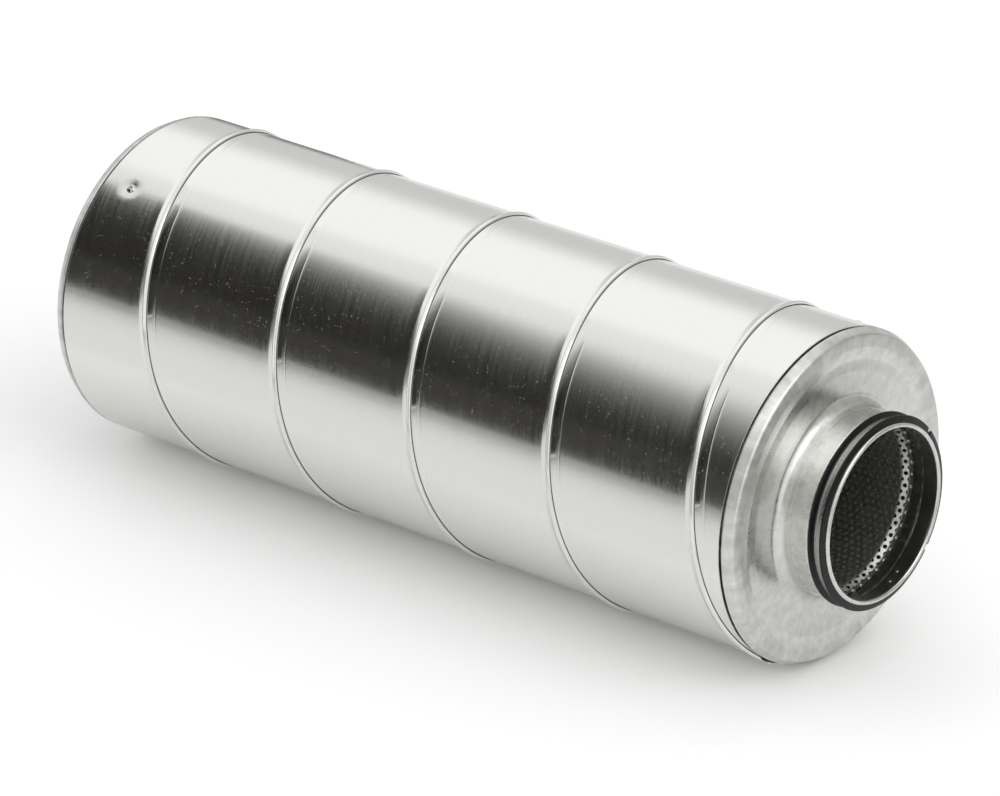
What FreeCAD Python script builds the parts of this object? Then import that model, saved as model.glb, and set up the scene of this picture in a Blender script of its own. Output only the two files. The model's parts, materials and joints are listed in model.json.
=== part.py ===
import FreeCAD, Part
import Sketcher
import math
import os

# Circular duct sound attenuator for a 125 mm duct: a spiral lockseam casing with two pressed end caps,
# and through it a perforated duct wrapped in fleece and mineral wool, with a sealed spigot at each end.
# The axis lies along X, the front end at +X, and the origin is at the middle of the length.
# Millimetres and degrees. An angle round the casing is counted from +Z towards +Y.

doc = FreeCAD.newDocument("duct_attenuator")
sheet = doc.addObject("Spreadsheet::Sheet", "Sizes")
cells = []
FRONT = 1
REAR = -1
ENDS = {"front": FRONT, "rear": REAR}
FULL_TURN = 360


class Size:
    """A number with the formula in cells that it comes from, so that sketches and features follow it."""

    def __init__(self, value, formula):
        self.value = value
        self.formula = formula

    def with_sign(self, sign, other, value):
        other_formula = other.formula if isinstance(other, Size) else str(other)
        return Size(value, "(" + self.formula + sign + other_formula + ")")

    def __add__(self, other):
        return self.with_sign(" + ", other, self.value + plain(other))

    def __sub__(self, other):
        return self.with_sign(" - ", other, self.value - plain(other))

    def __mul__(self, other):
        return self.with_sign(" * ", other, self.value * plain(other))

    def __truediv__(self, other):
        return self.with_sign(" / ", other, self.value / plain(other))

    def root(self):
        return Size(math.sqrt(self.value), "sqrt(" + self.formula + ")")


def plain(number):
    return number.value if isinstance(number, Size) else number


def size(alias, value, meaning):
    """One driving dimension: a cell with a plain number, its alias, and beside it what it measures."""
    cells.append(alias)
    row = str(len(cells))
    sheet.set("A" + row, meaning)
    sheet.set("B" + row, str(value))
    sheet.setAlias("B" + row, alias)
    return Size(value, "Sizes." + alias)


# Casing: strip wound into a tube, with its edges folded together in one helical lockseam
casing_r = size("casing_r", 112, "outside radius of the casing")
casing_length = size("casing_length", 568, "length of the casing")
casing_wall = size("casing_wall", 0.6, "sheet of the casing")
seam_pitch = size("seam_pitch", 117.6, "advance of the lockseam in one turn")
seam_phase = size("seam_phase", 1.9, "place along X where the seam's front foot crosses the casing's top")
seam_width = size("seam_width", 7.2, "width of the seam at its foot")
seam_ramp = size("seam_ramp", 5, "length of the slope at the seam's rear side")
seam_height = size("seam_height", 2.2, "height of the seam over the casing")

# End cap: one pressed sheet with a flange, a rounded shoulder, a dished face and a drawn collar
cap_wall = size("cap_wall", 0.7, "sheet of an end cap")
cap_fit = size("cap_fit", 0.5, "gap between the casing and the cap's flange")
cap_flange = size("cap_flange", 32, "depth of the flange inside the casing")
cap_groove = size("cap_groove", 1.6, "open groove between the casing's edge and the shoulder")
cap_joggle = size("cap_joggle", 0.8, "run of the step from the flange up to the shoulder")
cap_stand = size("cap_stand", 9.4, "height of the shoulder's crest over the casing's edge")
shoulder_bend = size("shoulder_bend", 5.6, "radius of the rounded shoulder")
face_band = size("face_band", 9.9, "width of the slope from the crest in to the deepest ring of the face")
dish_depth = size("dish_depth", 1.8, "depth of the face at that ring")
flare_bend = size("flare_bend", 6.4, "radius of the bend from the face into the collar")
collar_length = size("collar_length", 2.2, "straight length of the collar past its bend")
collar_fit = size("collar_fit", 0.05, "gap between the collar and the spigot in it")

# Spigot: a tube fixed in the collar, with a sunk seat for the seal and a rolled rim
spigot_r = size("spigot_r", 62, "outside radius of the spigot")
spigot_wall = size("spigot_wall", 0.6, "sheet of the spigot")
spigot_tail = size("spigot_tail", 1, "height of the spigot's inner end over the casing's edge")
spigot_stand = size("spigot_stand", 46.8, "height of the rim's nose over the casing's edge")
rim_bend = size("rim_bend", 1.6, "outside radius of the rolled rim")
seat_drop = size("seat_drop", 1.7, "depth of the seal's seat below the spigot's outside")
seat_length = size("seat_length", 12.2, "length of the seal's seat behind the rolled rim")
seat_step = size("seat_step", 2, "run of the step from the spigot down to the seat")

# Seal: a rubber band on the seat, with two lips that press on the duct's wall
seal_fit = size("seal_fit", 0.05, "gap between the seal and its seat")
seal_side_fit = size("seal_side_fit", 0.3, "gap between the seal's band and each end of its seat")
seal_base = size("seal_base", 1.4, "thickness of the seal's band")
lip_rise = size("lip_rise", 3.05, "height of a lip over the band")
lip_lean = size("lip_lean", 0.7, "run of a lip's outer side from the band's edge to its tip")
lip_land = size("lip_land", 0.9, "width of the flat at a lip's tip")
lip_root = size("lip_root", 3.2, "width of a lip where it leaves the band")

# Perforated duct: thin sheet, widened at both ends to fit inside the spigots
duct_wall = size("duct_wall", 0.7, "sheet of the perforated duct")
duct_fit = size("duct_fit", 0.1, "gap between the duct's mouth and the spigot's bore")
mouth_stand = size("mouth_stand", 24, "height of the duct's mouth over the casing's edge")
mouth_length = size("mouth_length", 3.2, "straight length of the mouth")
mouth_cone = size("mouth_cone", 4.4, "length of the cone from the mouth down to the duct")
mouth_swell = size("mouth_swell", 2.5, "how far the mouth's radius stands over the duct's")
hole_r = size("hole_r", 1.5, "radius of a perforation")
holes_per_ring = size("holes_per_ring", 44, "number of perforations in one ring")

# Lining: fleece on the duct, and a mineral wool mat from there out to the casing
fleece_wall = size("fleece_wall", 0.5, "thickness of the fleece")
fleece_fit = size("fleece_fit", 0.05, "gap on each side of the fleece")
wool_fit = size("wool_fit", 0.3, "gap between the mat and the metal round it")
wool_slit = size("wool_slit", 0.6, "width of the mat's butt joint")

# Blind rivets: they draw the casing down on the flange, each in a shallow dimple
rivet_inset = size("rivet_inset", 22.7, "distance from the casing's edge back to the rivets")
rivets_per_end = size("rivets_per_end", 2, "number of rivets in each end")
front_rivet_angle = size("front_rivet_angle", 33, "angle round the casing of the front end's first rivet")
rear_rivet_angle = size("rear_rivet_angle", -36.2, "angle round the casing of the rear end's first rivet")
rivet_fit = size("rivet_fit", 0.08, "gap round a rivet's shank, under its head and behind its tail")
rivet_head_r = size("rivet_head_r", 3.25, "radius of a rivet's head")
rivet_head = size("rivet_head", 1.1, "height of a rivet's head")
rivet_brim = size("rivet_brim", 0.3, "height of the straight edge of a rivet's head")
rivet_shank_r = size("rivet_shank_r", 1.6, "radius of a rivet's shank")
rivet_core_r = size("rivet_core_r", 0.9, "radius of the open core through a rivet")
rivet_tail_r = size("rivet_tail_r", 2.6, "radius of a rivet's blind end")
rivet_tail = size("rivet_tail", 2.2, "length of a rivet's blind end")
dimple_reach = size("dimple_reach", 9, "half the length of the dimple round a rivet")

doc.recompute()

# What the pieces share: radii from the axis, and heights over the casing's edge
casing_bore_r = casing_r - casing_wall
casing_middle_r = casing_r - casing_wall / 2
flange_r = casing_bore_r - cap_fit
flange_bore_r = flange_r - cap_wall
shoulder_r = casing_r - shoulder_bend
dish_r = shoulder_r - face_band
cap_back = cap_stand - dish_depth - cap_wall
flare_stand = cap_stand + flare_bend
collar_bore_r = spigot_r + collar_fit
spigot_bore_r = spigot_r - spigot_wall
curl_stand = spigot_stand - rim_bend
seat_r = spigot_r - seat_drop
band_bore_r = seat_r + seal_fit
band_r = band_bore_r + seal_base
lip_r = band_r + lip_rise
mouth_r = spigot_bore_r - duct_fit
duct_r = mouth_r - mouth_swell
mouth_back = mouth_stand - mouth_length
cone_back = mouth_back - mouth_cone
fleece_bore_r = duct_r + fleece_fit
fleece_r = fleece_bore_r + fleece_wall
dimple_depth = cap_fit - rivet_fit
dimple_bend = (dimple_reach * dimple_reach + dimple_depth * dimple_depth) / (dimple_depth * 2)
rivet_seat_r = casing_r - dimple_depth + rivet_fit
rivet_grip = rivet_seat_r - flange_bore_r + rivet_fit


def over_edge(end, height):
    """The place along X of a height over the casing's edge, at the front or the rear end."""
    return (casing_length / 2 + height) * end


def origin_of(body, role):
    """A plane or an axis of the body's own origin."""
    return [feature for feature in body.Origin.OriginFeatures if feature.Role == role][0]


def follow(thing, prop, amount):
    """Sets a property to a size, and keeps it tied to the cells."""
    thing.setExpression(prop, amount.formula)


def corner(across, up):
    """A point of an outline that a straight line leads to."""
    return across, up, None


def bend(across, up, centre_across, centre_up, radius, turn):
    """A point of an outline that an arc leads to, turning left (1) or right (-1) round its centre."""
    return across, up, (centre_across, centre_up, radius, turn)


def draw(body, name, role, points):
    """A closed outline on one of the body's own planes, with each corner and radius tied to the sizes."""
    sketch = body.newObject("Sketcher::SketchObject", name)
    sketch.AttachmentSupport = [(origin_of(body, role), "")]
    sketch.MapMode = "FlatFace"
    ends = []
    places = [FreeCAD.Vector(plain(across), plain(up), 0) for across, up, _ in points]
    for index, (_, _, arc) in enumerate(points):
        start, end = places[index - 1], places[index]
        if arc is None:
            sketch.addGeometry(Part.LineSegment(start, end), False)
            ends.append((1, 2))
            continue
        centre_across, centre_up, radius, turn = arc
        centre = FreeCAD.Vector(plain(centre_across), plain(centre_up), 0)
        first, last = (start - centre, end - centre) if turn > 0 else (end - centre, start - centre)
        first_angle = math.atan2(first.y, first.x)
        last_angle = math.atan2(last.y, last.x)
        if last_angle < first_angle:
            last_angle += 2 * math.pi
        circle = Part.Circle(centre, FreeCAD.Vector(0, 0, 1), plain(radius))
        sketch.addGeometry(Part.ArcOfCircle(circle, first_angle, last_angle), False)
        ends.append((1, 2) if turn > 0 else (2, 1))
    for index in range(len(points)):
        after = (index + 1) % len(points)
        meeting = (index, ends[index][1], after, ends[after][0])
        sketch.addConstraint(Sketcher.Constraint("Coincident", *meeting))
    for index, (across, up, arc) in enumerate(points):
        point = (-1, 1, index, ends[index][1])
        tied = [("DistanceX", point, across), ("DistanceY", point, up)]
        if arc is not None:
            tied.append(("Radius", (index,), arc[2]))
        for kind, where, amount in tied:
            number = sketch.addConstraint(Sketcher.Constraint(kind, *where, plain(amount)))
            if isinstance(amount, Size):
                sketch.setExpression("Constraints[" + str(number) + "]", amount.formula)
    return sketch


def draw_circle(body, name, across, radius):
    """A circle on the body's own XY plane, with its centre on the X axis."""
    sketch = body.newObject("Sketcher::SketchObject", name)
    sketch.AttachmentSupport = [(origin_of(body, "XY_Plane"), "")]
    sketch.MapMode = "FlatFace"
    centre = FreeCAD.Vector(plain(across), 0, 0)
    sketch.addGeometry(Part.Circle(centre, FreeCAD.Vector(0, 0, 1), plain(radius)), False)
    sketch.addConstraint(Sketcher.Constraint("PointOnObject", 0, 3, -1))
    for kind, where, amount in (("Radius", (0,), radius), ("DistanceX", (-1, 1, 0, 3), across)):
        number = sketch.addConstraint(Sketcher.Constraint(kind, *where, plain(amount)))
        sketch.setExpression("Constraints[" + str(number) + "]", amount.formula)
    return sketch


def new_body(name):
    body = doc.addObject("PartDesign::Body", name)
    body.Label = name
    return body


def turned(name, points):
    """A body turned about X from an outline of places along X and radii."""
    body = new_body(name)
    sketch = draw(body, name + "_section", "XY_Plane", points)
    turning = body.newObject("PartDesign::Revolution", name + "_turned")
    turning.Profile = sketch
    turning.ReferenceAxis = (sketch, ["H_Axis"])
    turning.Angle = FULL_TURN
    return body


def cut(name, base, tools):
    """The base with every tool taken out of it."""
    group = doc.addObject("Part::Compound", name + "_cutters")
    group.Links = tools
    result = doc.addObject("Part::Cut", name)
    result.Base = base
    result.Tool = group
    result.Label = name
    return result


def rivet_places(end):
    """For each rivet of an end: its place along X, its direction, and the rotation that turns Z that way."""
    first = rear_rivet_angle if end == REAR else front_rivet_angle
    along = FreeCAD.Vector(plain(over_edge(end, rivet_inset * -1)), 0, 0)
    axis = FreeCAD.Vector(1, 0, 0)
    places = []
    for index in range(int(rivets_per_end.value)):
        turn = math.radians(first.value + index * FULL_TURN / rivets_per_end.value)
        out = FreeCAD.Vector(0, math.sin(turn), math.cos(turn))
        places.append((along, out, FreeCAD.Rotation(axis, out.cross(axis), out, "XZY")))
    return places


def rivet_drills(name, end_name, radius, bottom):
    """Straight drills of a radius, one for each rivet of an end, from a bottom out through the casing."""
    drills = []
    for index, (along, out, upright) in enumerate(rivet_places(ENDS[end_name])):
        drill = doc.addObject("Part::Cylinder", end_name + "_" + name + "_" + str(index))
        follow(drill, "Radius", radius)
        follow(drill, "Height", casing_r + seam_height - bottom)
        drill.Placement = FreeCAD.Placement(along + out * plain(bottom), upright)
        drills.append(drill)
    return drills


def dimple_ball(name, place, radius):
    """A ball that touches the bottom of a dimple from outside, its poles turned away from the casing."""
    along, out, _ = place
    axis = FreeCAD.Vector(1, 0, 0)
    ball = doc.addObject("Part::Sphere", name)
    follow(ball, "Radius", radius)
    centre = along + out * plain(casing_r - dimple_depth + dimple_bend)
    ball.Placement = FreeCAD.Placement(centre, FreeCAD.Rotation(out, axis.cross(out), axis, "XZY"))
    return ball


def make_casing(drills):
    """The tube with its lockseam wound round it, trimmed at both edges, dimpled and drilled for rivets."""
    tube = turned("casing_tube", [
        corner(over_edge(REAR, 0), casing_bore_r),
        corner(over_edge(FRONT, 0), casing_bore_r),
        corner(over_edge(FRONT, 0), casing_r),
        corner(over_edge(REAR, 0), casing_r),
    ])
    turns_behind = math.ceil((casing_length.value / 2 + seam_phase.value) / seam_pitch.value)
    foot = seam_phase - seam_pitch * turns_behind
    section = draw(tube, "seam_section", "XZ_Plane", [
        corner(foot - seam_width, casing_middle_r),
        corner(foot, casing_middle_r),
        corner(foot, casing_r + seam_height),
        corner(foot - seam_width + seam_ramp, casing_r + seam_height),
        corner(foot - seam_width, casing_r),
    ])
    seam = tube.newObject("PartDesign::AdditiveHelix", "lockseam")
    seam.Profile = section
    seam.ReferenceAxis = (section, ["H_Axis"])
    seam.Mode = "pitch-turns-angle"
    follow(seam, "Pitch", seam_pitch)
    seam.Turns = math.ceil(casing_length.value / seam_pitch.value) + 1
    for name, end in ENDS.items():
        beyond = over_edge(end, seam_pitch * 2)
        trim = draw(tube, name + "_trim_section", "XY_Plane", [
            corner(over_edge(end, 0), casing_bore_r / 2),
            corner(beyond, casing_bore_r / 2),
            corner(beyond, casing_r + seam_height * 2),
            corner(over_edge(end, 0), casing_r + seam_height * 2),
        ])
        groove = tube.newObject("PartDesign::Groove", name + "_trim")
        groove.Profile = trim
        groove.ReferenceAxis = (trim, ["H_Axis"])
        groove.Angle = FULL_TURN
    core = doc.addObject("Part::Cylinder", "casing_core")
    follow(core, "Radius", casing_middle_r)
    follow(core, "Height", casing_length)
    lying = FreeCAD.Rotation(FreeCAD.Vector(0, 0, 1), FreeCAD.Vector(1, 0, 0))
    core.Placement = FreeCAD.Placement(FreeCAD.Vector(plain(over_edge(REAR, 0)), 0, 0), lying)
    bulges = []
    hollows = []
    for name, end in ENDS.items():
        for index, place in enumerate(rivet_places(end)):
            label = name + "_dimple_" + str(index)
            bulge = doc.addObject("Part::Common", label + "_bulge")
            bulge.Base = dimple_ball(label + "_back", place, dimple_bend + casing_wall)
            bulge.Tool = core
            bulges.append(bulge)
            hollows.append(dimple_ball(label + "_front", place, dimple_bend))
    bulged = doc.addObject("Part::MultiFuse", "casing_bulged")
    bulged.Shapes = [tube] + bulges
    return cut("outer_casing", bulged, hollows + drills["front"] + drills["rear"])


def make_cap(end_name, drills):
    """An end cap: its outline runs over the outside from flange to collar, and back behind the sheet."""
    end = ENDS[end_name]
    flange_end = over_edge(end, cap_flange * -1)
    shoulder = over_edge(end, cap_stand - shoulder_bend)
    crest = over_edge(end, cap_stand)
    crest_back = over_edge(end, cap_stand - cap_wall)
    collar_r = collar_bore_r + cap_wall
    flare = over_edge(end, flare_stand)
    flare_r = collar_r + flare_bend
    collar_end = over_edge(end, flare_stand + collar_length)
    blank = turned(end_name + "_cap_blank", [
        corner(flange_end, flange_bore_r),
        corner(flange_end, flange_r),
        corner(over_edge(end, cap_groove), flange_r),
        corner(over_edge(end, cap_groove + cap_joggle), casing_r),
        corner(shoulder, casing_r),
        bend(crest, shoulder_r, shoulder, shoulder_r, shoulder_bend, -end),
        corner(over_edge(end, cap_stand - dish_depth), dish_r),
        corner(crest, flare_r),
        bend(flare, collar_r, flare, flare_r, flare_bend, end),
        corner(collar_end, collar_r),
        corner(collar_end, collar_bore_r),
        corner(flare, collar_bore_r),
        bend(crest_back, flare_r, flare, flare_r, flare_bend + cap_wall, -end),
        corner(over_edge(end, cap_back), dish_r),
        corner(crest_back, shoulder_r),
        bend(shoulder, casing_r - cap_wall, shoulder, shoulder_r, shoulder_bend - cap_wall, end),
        corner(over_edge(end, cap_groove + cap_joggle + cap_wall / 2), casing_r - cap_wall),
        corner(over_edge(end, cap_groove + cap_wall / 2), flange_bore_r),
    ])
    return cut(end_name + "_end_cap", blank, drills)


def make_spigot(end_name):
    """A spigot: outside from its inner end to the rim, round the roll, and back along the bore."""
    end = ENDS[end_name]
    curl = over_edge(end, curl_stand)
    curl_r = seat_r - rim_bend
    curl_bore = rim_bend - spigot_wall
    hook = (rim_bend * rim_bend - curl_bore * curl_bore).root()
    seat_back = curl_stand - seat_length
    return turned(end_name + "_spigot", [
        corner(over_edge(end, spigot_tail), spigot_bore_r),
        corner(over_edge(end, spigot_tail), spigot_r),
        corner(over_edge(end, seat_back - seat_step), spigot_r),
        corner(over_edge(end, seat_back), seat_r),
        corner(curl, seat_r),
        bend(over_edge(end, curl_stand - hook), seat_r - spigot_wall, curl, curl_r, rim_bend, -end),
        corner(over_edge(end, seat_back - spigot_wall / 3), seat_r - spigot_wall),
        corner(over_edge(end, seat_back - seat_step - spigot_wall / 3), spigot_bore_r),
    ])


def make_seal(end_name):
    """A seal: a band with a lip at each edge, the same from both sides."""
    end = ENDS[end_name]
    front = curl_stand - seal_side_fit
    back = curl_stand - seat_length + seal_side_fit
    return turned(end_name + "_seal", [
        corner(over_edge(end, back), band_bore_r),
        corner(over_edge(end, back + lip_lean), lip_r),
        corner(over_edge(end, back + lip_lean + lip_land), lip_r),
        corner(over_edge(end, back + lip_root), band_r),
        corner(over_edge(end, front - lip_root), band_r),
        corner(over_edge(end, front - lip_lean - lip_land), lip_r),
        corner(over_edge(end, front - lip_lean), lip_r),
        corner(over_edge(end, front), band_bore_r),
    ])


def make_duct():
    """The duct through the attenuator, with a ring of perforations round the cone at each mouth."""
    outside = []
    inside = []
    for end in (REAR, FRONT):
        steps = [(cone_back, duct_r), (mouth_back, mouth_r), (mouth_stand, mouth_r)][::end]
        outside += [corner(over_edge(end, height), radius) for height, radius in steps]
        inside += [corner(over_edge(end, height), radius - duct_wall) for height, radius in steps]
    blank = turned("duct_blank", outside + inside[::-1])
    punch = new_body("duct_punch")
    punch.AllowCompound = True
    pins = []
    for name, end in ENDS.items():
        middle = over_edge(end, cone_back + mouth_cone / 2)
        section = draw_circle(punch, name + "_pin_section", middle, hole_r)
        follow(section, "AttachmentOffset.Base.z", duct_r - hole_r)
        pin = punch.newObject("PartDesign::Pad", name + "_pin")
        pin.Profile = section
        follow(pin, "Length", mouth_r - duct_r + hole_r * 2)
        pins.append(pin)
    ring = punch.newObject("PartDesign::PolarPattern", "pin_rings")
    ring.Originals = pins
    ring.Axis = (origin_of(punch, "X_Axis"), [""])
    ring.Angle = FULL_TURN
    follow(ring, "Occurrences", holes_per_ring)
    punch.Tip = ring
    return cut("perforated_duct", blank, [punch])


def make_fleece():
    """The fleece sleeve, as long as the duct between its cones."""
    rear = over_edge(REAR, cone_back - wool_fit)
    front = over_edge(FRONT, cone_back - wool_fit)
    return turned("facing_fleece", [
        corner(rear, fleece_bore_r),
        corner(front, fleece_bore_r),
        corner(front, fleece_r),
        corner(rear, fleece_r),
    ])


def make_wool():
    """The mineral wool mat bent round the fleece, pressed back by the flanges, spigots and rivets."""
    inside = fleece_r + fleece_fit
    outline = []
    for end in (REAR, FRONT):
        steps = [
            (spigot_tail - wool_fit, inside),
            (spigot_tail - wool_fit, spigot_r + wool_fit),
            (cap_back - wool_fit, spigot_r + wool_fit),
            (cap_back - wool_fit, flange_bore_r - wool_fit),
            ((cap_flange + wool_fit) * -1, flange_bore_r - wool_fit),
            ((cap_flange + wool_fit) * -1, casing_bore_r - wool_fit),
        ][::-end]
        outline += [corner(over_edge(end, height), radius) for height, radius in steps]
    body = turned("mat_blank", outline)
    slit = draw(body, "butt_joint_section", "XY_Plane", [
        corner(over_edge(REAR, cap_stand), wool_slit / -2),
        corner(over_edge(FRONT, cap_stand), wool_slit / -2),
        corner(over_edge(FRONT, cap_stand), wool_slit / 2),
        corner(over_edge(REAR, cap_stand), wool_slit / 2),
    ])
    joint = body.newObject("PartDesign::Pocket", "butt_joint")
    joint.Profile = slit
    follow(joint, "Length", casing_r)
    tail_end_r = flange_bore_r - rivet_fit - rivet_tail
    hollows = []
    for end_name in ENDS:
        hollows += rivet_drills("tail_hollow", end_name, rivet_tail_r + wool_fit, tail_end_r - wool_fit)
    return cut("mineral_wool_mat", body, hollows)


def make_rivets(end_name):
    """The blind rivets of one end, with a domed head, an open core and a blind end behind the flange."""
    dome_rise = rivet_head - rivet_brim
    dome_bend = (rivet_head_r * rivet_head_r + dome_rise * dome_rise) / (dome_rise * 2)
    dome_centre = rivet_head - dome_bend
    core_top = dome_centre + (dome_bend * dome_bend - rivet_core_r * rivet_core_r).root()
    tail_end = (rivet_grip + rivet_tail) * -1
    bodies = []
    for index, (along, out, upright) in enumerate(rivet_places(ENDS[end_name])):
        body = new_body(end_name + "_rivet_" + str(index))
        section = draw(body, body.Name + "_section", "XZ_Plane", [
            corner(rivet_core_r, tail_end),
            corner(rivet_tail_r, tail_end),
            corner(rivet_tail_r, rivet_grip * -1),
            corner(rivet_shank_r, rivet_grip * -1),
            corner(rivet_shank_r, 0),
            corner(rivet_head_r, 0),
            corner(rivet_head_r, rivet_brim),
            bend(rivet_core_r, core_top, 0, dome_centre, dome_bend, 1),
        ])
        turning = body.newObject("PartDesign::Revolution", body.Name + "_turned")
        turning.Profile = section
        turning.ReferenceAxis = (section, ["V_Axis"])
        turning.Angle = FULL_TURN
        body.Placement = FreeCAD.Placement(along + out * plain(rivet_seat_r), upright)
        bodies.append(body)
    group = doc.addObject("Part::Compound", end_name + "_cap_rivets")
    group.Links = bodies
    group.Label = end_name + "_cap_rivets"
    return group


drills = {}
for end_name in ENDS:
    drill_r = rivet_shank_r + rivet_fit
    drills[end_name] = rivet_drills("drill", end_name, drill_r, flange_bore_r - rivet_tail)
nodes = [make_casing(drills), make_duct(), make_fleece(), make_wool()]
for end_name in ENDS:
    nodes += [make_cap(end_name, drills[end_name]), make_spigot(end_name)]
    nodes += [make_seal(end_name), make_rivets(end_name)]
doc.recompute()

failed = [thing.Name for thing in doc.Objects if "Invalid" in thing.State or "Error" in thing.State]
failed += [node.Label for node in nodes if node.Shape.isNull() or not node.Shape.isValid()]
if failed:
    raise RuntimeError("not built: " + ", ".join(failed))

os.makedirs("parts", exist_ok=True)
for node in nodes:
    node.Shape.exportStep("parts/" + node.Label + ".step")
    print(node.Label, len(node.Shape.Solids), "solids", round(node.Shape.Volume), "mm3")
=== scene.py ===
# %% [markdown]
# # A round duct sound attenuator
# The object is a length of spiral lockseam tube with a pressed cap in each end. A perforated duct runs
# through it, wrapped in fleece and mineral wool, and a short sealed spigot at each end joins it to the
# ventilation duct. All that shows of it is zinc-coated sheet steel, apart from two black rubber seals,
# so most of what the eye gets from it is reflection. The shapes have to be smooth, and the studio round
# it matters as much as the metal.

# %% Load the frame
import bmesh
import bpy
import json
import math
from mathutils import Matrix, Vector

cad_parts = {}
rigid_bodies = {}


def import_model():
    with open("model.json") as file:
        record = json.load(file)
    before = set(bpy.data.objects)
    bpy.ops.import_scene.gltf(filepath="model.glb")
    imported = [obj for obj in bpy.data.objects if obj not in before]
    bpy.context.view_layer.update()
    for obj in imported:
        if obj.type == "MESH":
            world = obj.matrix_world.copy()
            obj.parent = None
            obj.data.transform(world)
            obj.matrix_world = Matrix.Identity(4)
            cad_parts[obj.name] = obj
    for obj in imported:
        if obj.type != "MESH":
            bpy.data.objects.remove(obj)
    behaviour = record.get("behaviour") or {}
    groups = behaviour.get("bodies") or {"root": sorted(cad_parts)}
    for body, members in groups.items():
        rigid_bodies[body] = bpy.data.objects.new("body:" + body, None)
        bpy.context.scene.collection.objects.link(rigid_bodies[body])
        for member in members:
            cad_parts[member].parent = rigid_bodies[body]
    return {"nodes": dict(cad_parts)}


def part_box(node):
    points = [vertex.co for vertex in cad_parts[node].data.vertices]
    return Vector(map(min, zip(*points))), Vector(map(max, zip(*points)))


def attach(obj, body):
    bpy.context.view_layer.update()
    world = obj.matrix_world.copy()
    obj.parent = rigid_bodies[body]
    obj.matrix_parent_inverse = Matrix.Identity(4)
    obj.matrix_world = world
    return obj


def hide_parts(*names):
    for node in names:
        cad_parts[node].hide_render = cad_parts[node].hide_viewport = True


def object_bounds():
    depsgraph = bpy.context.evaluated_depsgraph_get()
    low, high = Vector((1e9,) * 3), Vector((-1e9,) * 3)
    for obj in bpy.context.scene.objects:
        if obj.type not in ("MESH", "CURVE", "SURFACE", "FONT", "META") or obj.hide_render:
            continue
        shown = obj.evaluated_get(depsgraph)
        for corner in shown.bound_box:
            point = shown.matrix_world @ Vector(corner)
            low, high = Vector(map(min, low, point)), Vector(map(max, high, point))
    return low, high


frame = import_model()
cad_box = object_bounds()
print("nodes", sorted(frame["nodes"]))
print("CAD box", [[round(value, 4) for value in corner] for corner in cad_box])

# %% [markdown]
# The axis of the object lies along X, its front end points at +X, and the origin is at the middle. The
# object's sizes are in millimetres, and each mesh is scaled to metres when it is made. What the frame
# can tell is read from its boxes, so that the dressed pieces sit exactly where the solid ones are. The
# seam is a hair lower than the solid one's, so that the object doesn't outgrow its box.

# %% Sizes
MM = 0.001
ENDS = {"front": 1, "rear": -1}
INSIDE_CAD = 0.06


def reach(node):
    """How far a node goes back and forward along X, and up from the axis, in millimetres."""
    low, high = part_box(node)
    return low.x / MM, high.x / MM, high.z / MM


_, casing_edge, casing_top = reach("outer_casing")
_, _, casing_r = reach("front_end_cap")
spigot_back, spigot_nose, spigot_r = reach("front_spigot")
seal_back, seal_front, lip_r = reach("front_seal")
_, duct_mouth, mouth_r = reach("perforated_duct")
seam_height = casing_top - casing_r - INSIDE_CAD
print("casing", round(casing_edge * 2, 1), "by", round(casing_r * 2, 1), "mm")
print("seam", round(seam_height, 2), "mm high")
print("spigot", round(spigot_r * 2, 1), "across, seal lips", round(lip_r * 2, 1), "across")

# %% [markdown]
# Two small helpers serve every material and every Geometry Nodes tree. Colours are picked as sRGB hex
# values, the way a colour chart gives them, and Blender's shaders count in linear light, so one
# function turns them over. The other adds a node with its settings, and gives each socket a value or a
# link. On top of these, three more start a material, feed its shader, and make the fine noise that most
# finishes have. Most values of such a noise lie between 0.3 and 0.7.

# %% Helpers for nodes
MOST_NOISE = (0.3, 0.7)


def linear(hex_colour):
    """An sRGB hex colour as linear red, green, blue and alpha."""
    channels = [int(hex_colour[index:index + 2], 16) / 255 for index in (1, 3, 5)]
    return [c / 12.92 if c <= 0.04045 else ((c + 0.055) / 1.055) ** 2.4 for c in channels] + [1]


def add_node(tree, kind, sockets=None, **settings):
    """Adds a node, sets its own settings, feeds its sockets with values or links, and gives its outputs."""
    node = tree.nodes.new(kind)
    for name, value in settings.items():
        setattr(node, name, value)
    for socket, value in (sockets or {}).items():
        if isinstance(value, bpy.types.NodeSocket):
            tree.links.new(value, node.inputs[socket])
        else:
            node.inputs[socket].default_value = value
    return node.outputs


def finish_of(name, metallic, fixed=()):
    """A new material with its shader, whose even values are set on the shader's own sockets."""
    material = bpy.data.materials.new(name)
    material.use_nodes = True
    tree = material.node_tree
    tree.nodes.clear()
    shader = tree.nodes.new("ShaderNodeBsdfPrincipled")
    add_node(tree, "ShaderNodeOutputMaterial", {"Surface": shader.outputs["BSDF"]})
    shader.inputs["Metallic"].default_value = metallic
    for socket, value in dict(fixed).items():
        shader.inputs[socket].default_value = value
    return material, tree, shader


def dress(tree, shader, shade, colours, rough, height, depth):
    """Feeds a shader: a shade from 0 to 1 picks the colour, and a height in millimetres makes the relief."""
    mix = {0: shade, 6: linear(colours[0]), 7: linear(colours[1])}
    colour = add_node(tree, "ShaderNodeMix", mix, data_type="RGBA")
    tree.links.new(colour[2], shader.inputs["Base Color"])
    tree.links.new(rough, shader.inputs["Roughness"])
    relief = add_node(tree, "ShaderNodeBump", {"Height": height, "Strength": 1.0, "Distance": depth * MM})
    tree.links.new(relief["Normal"], shader.inputs["Normal"])


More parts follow.
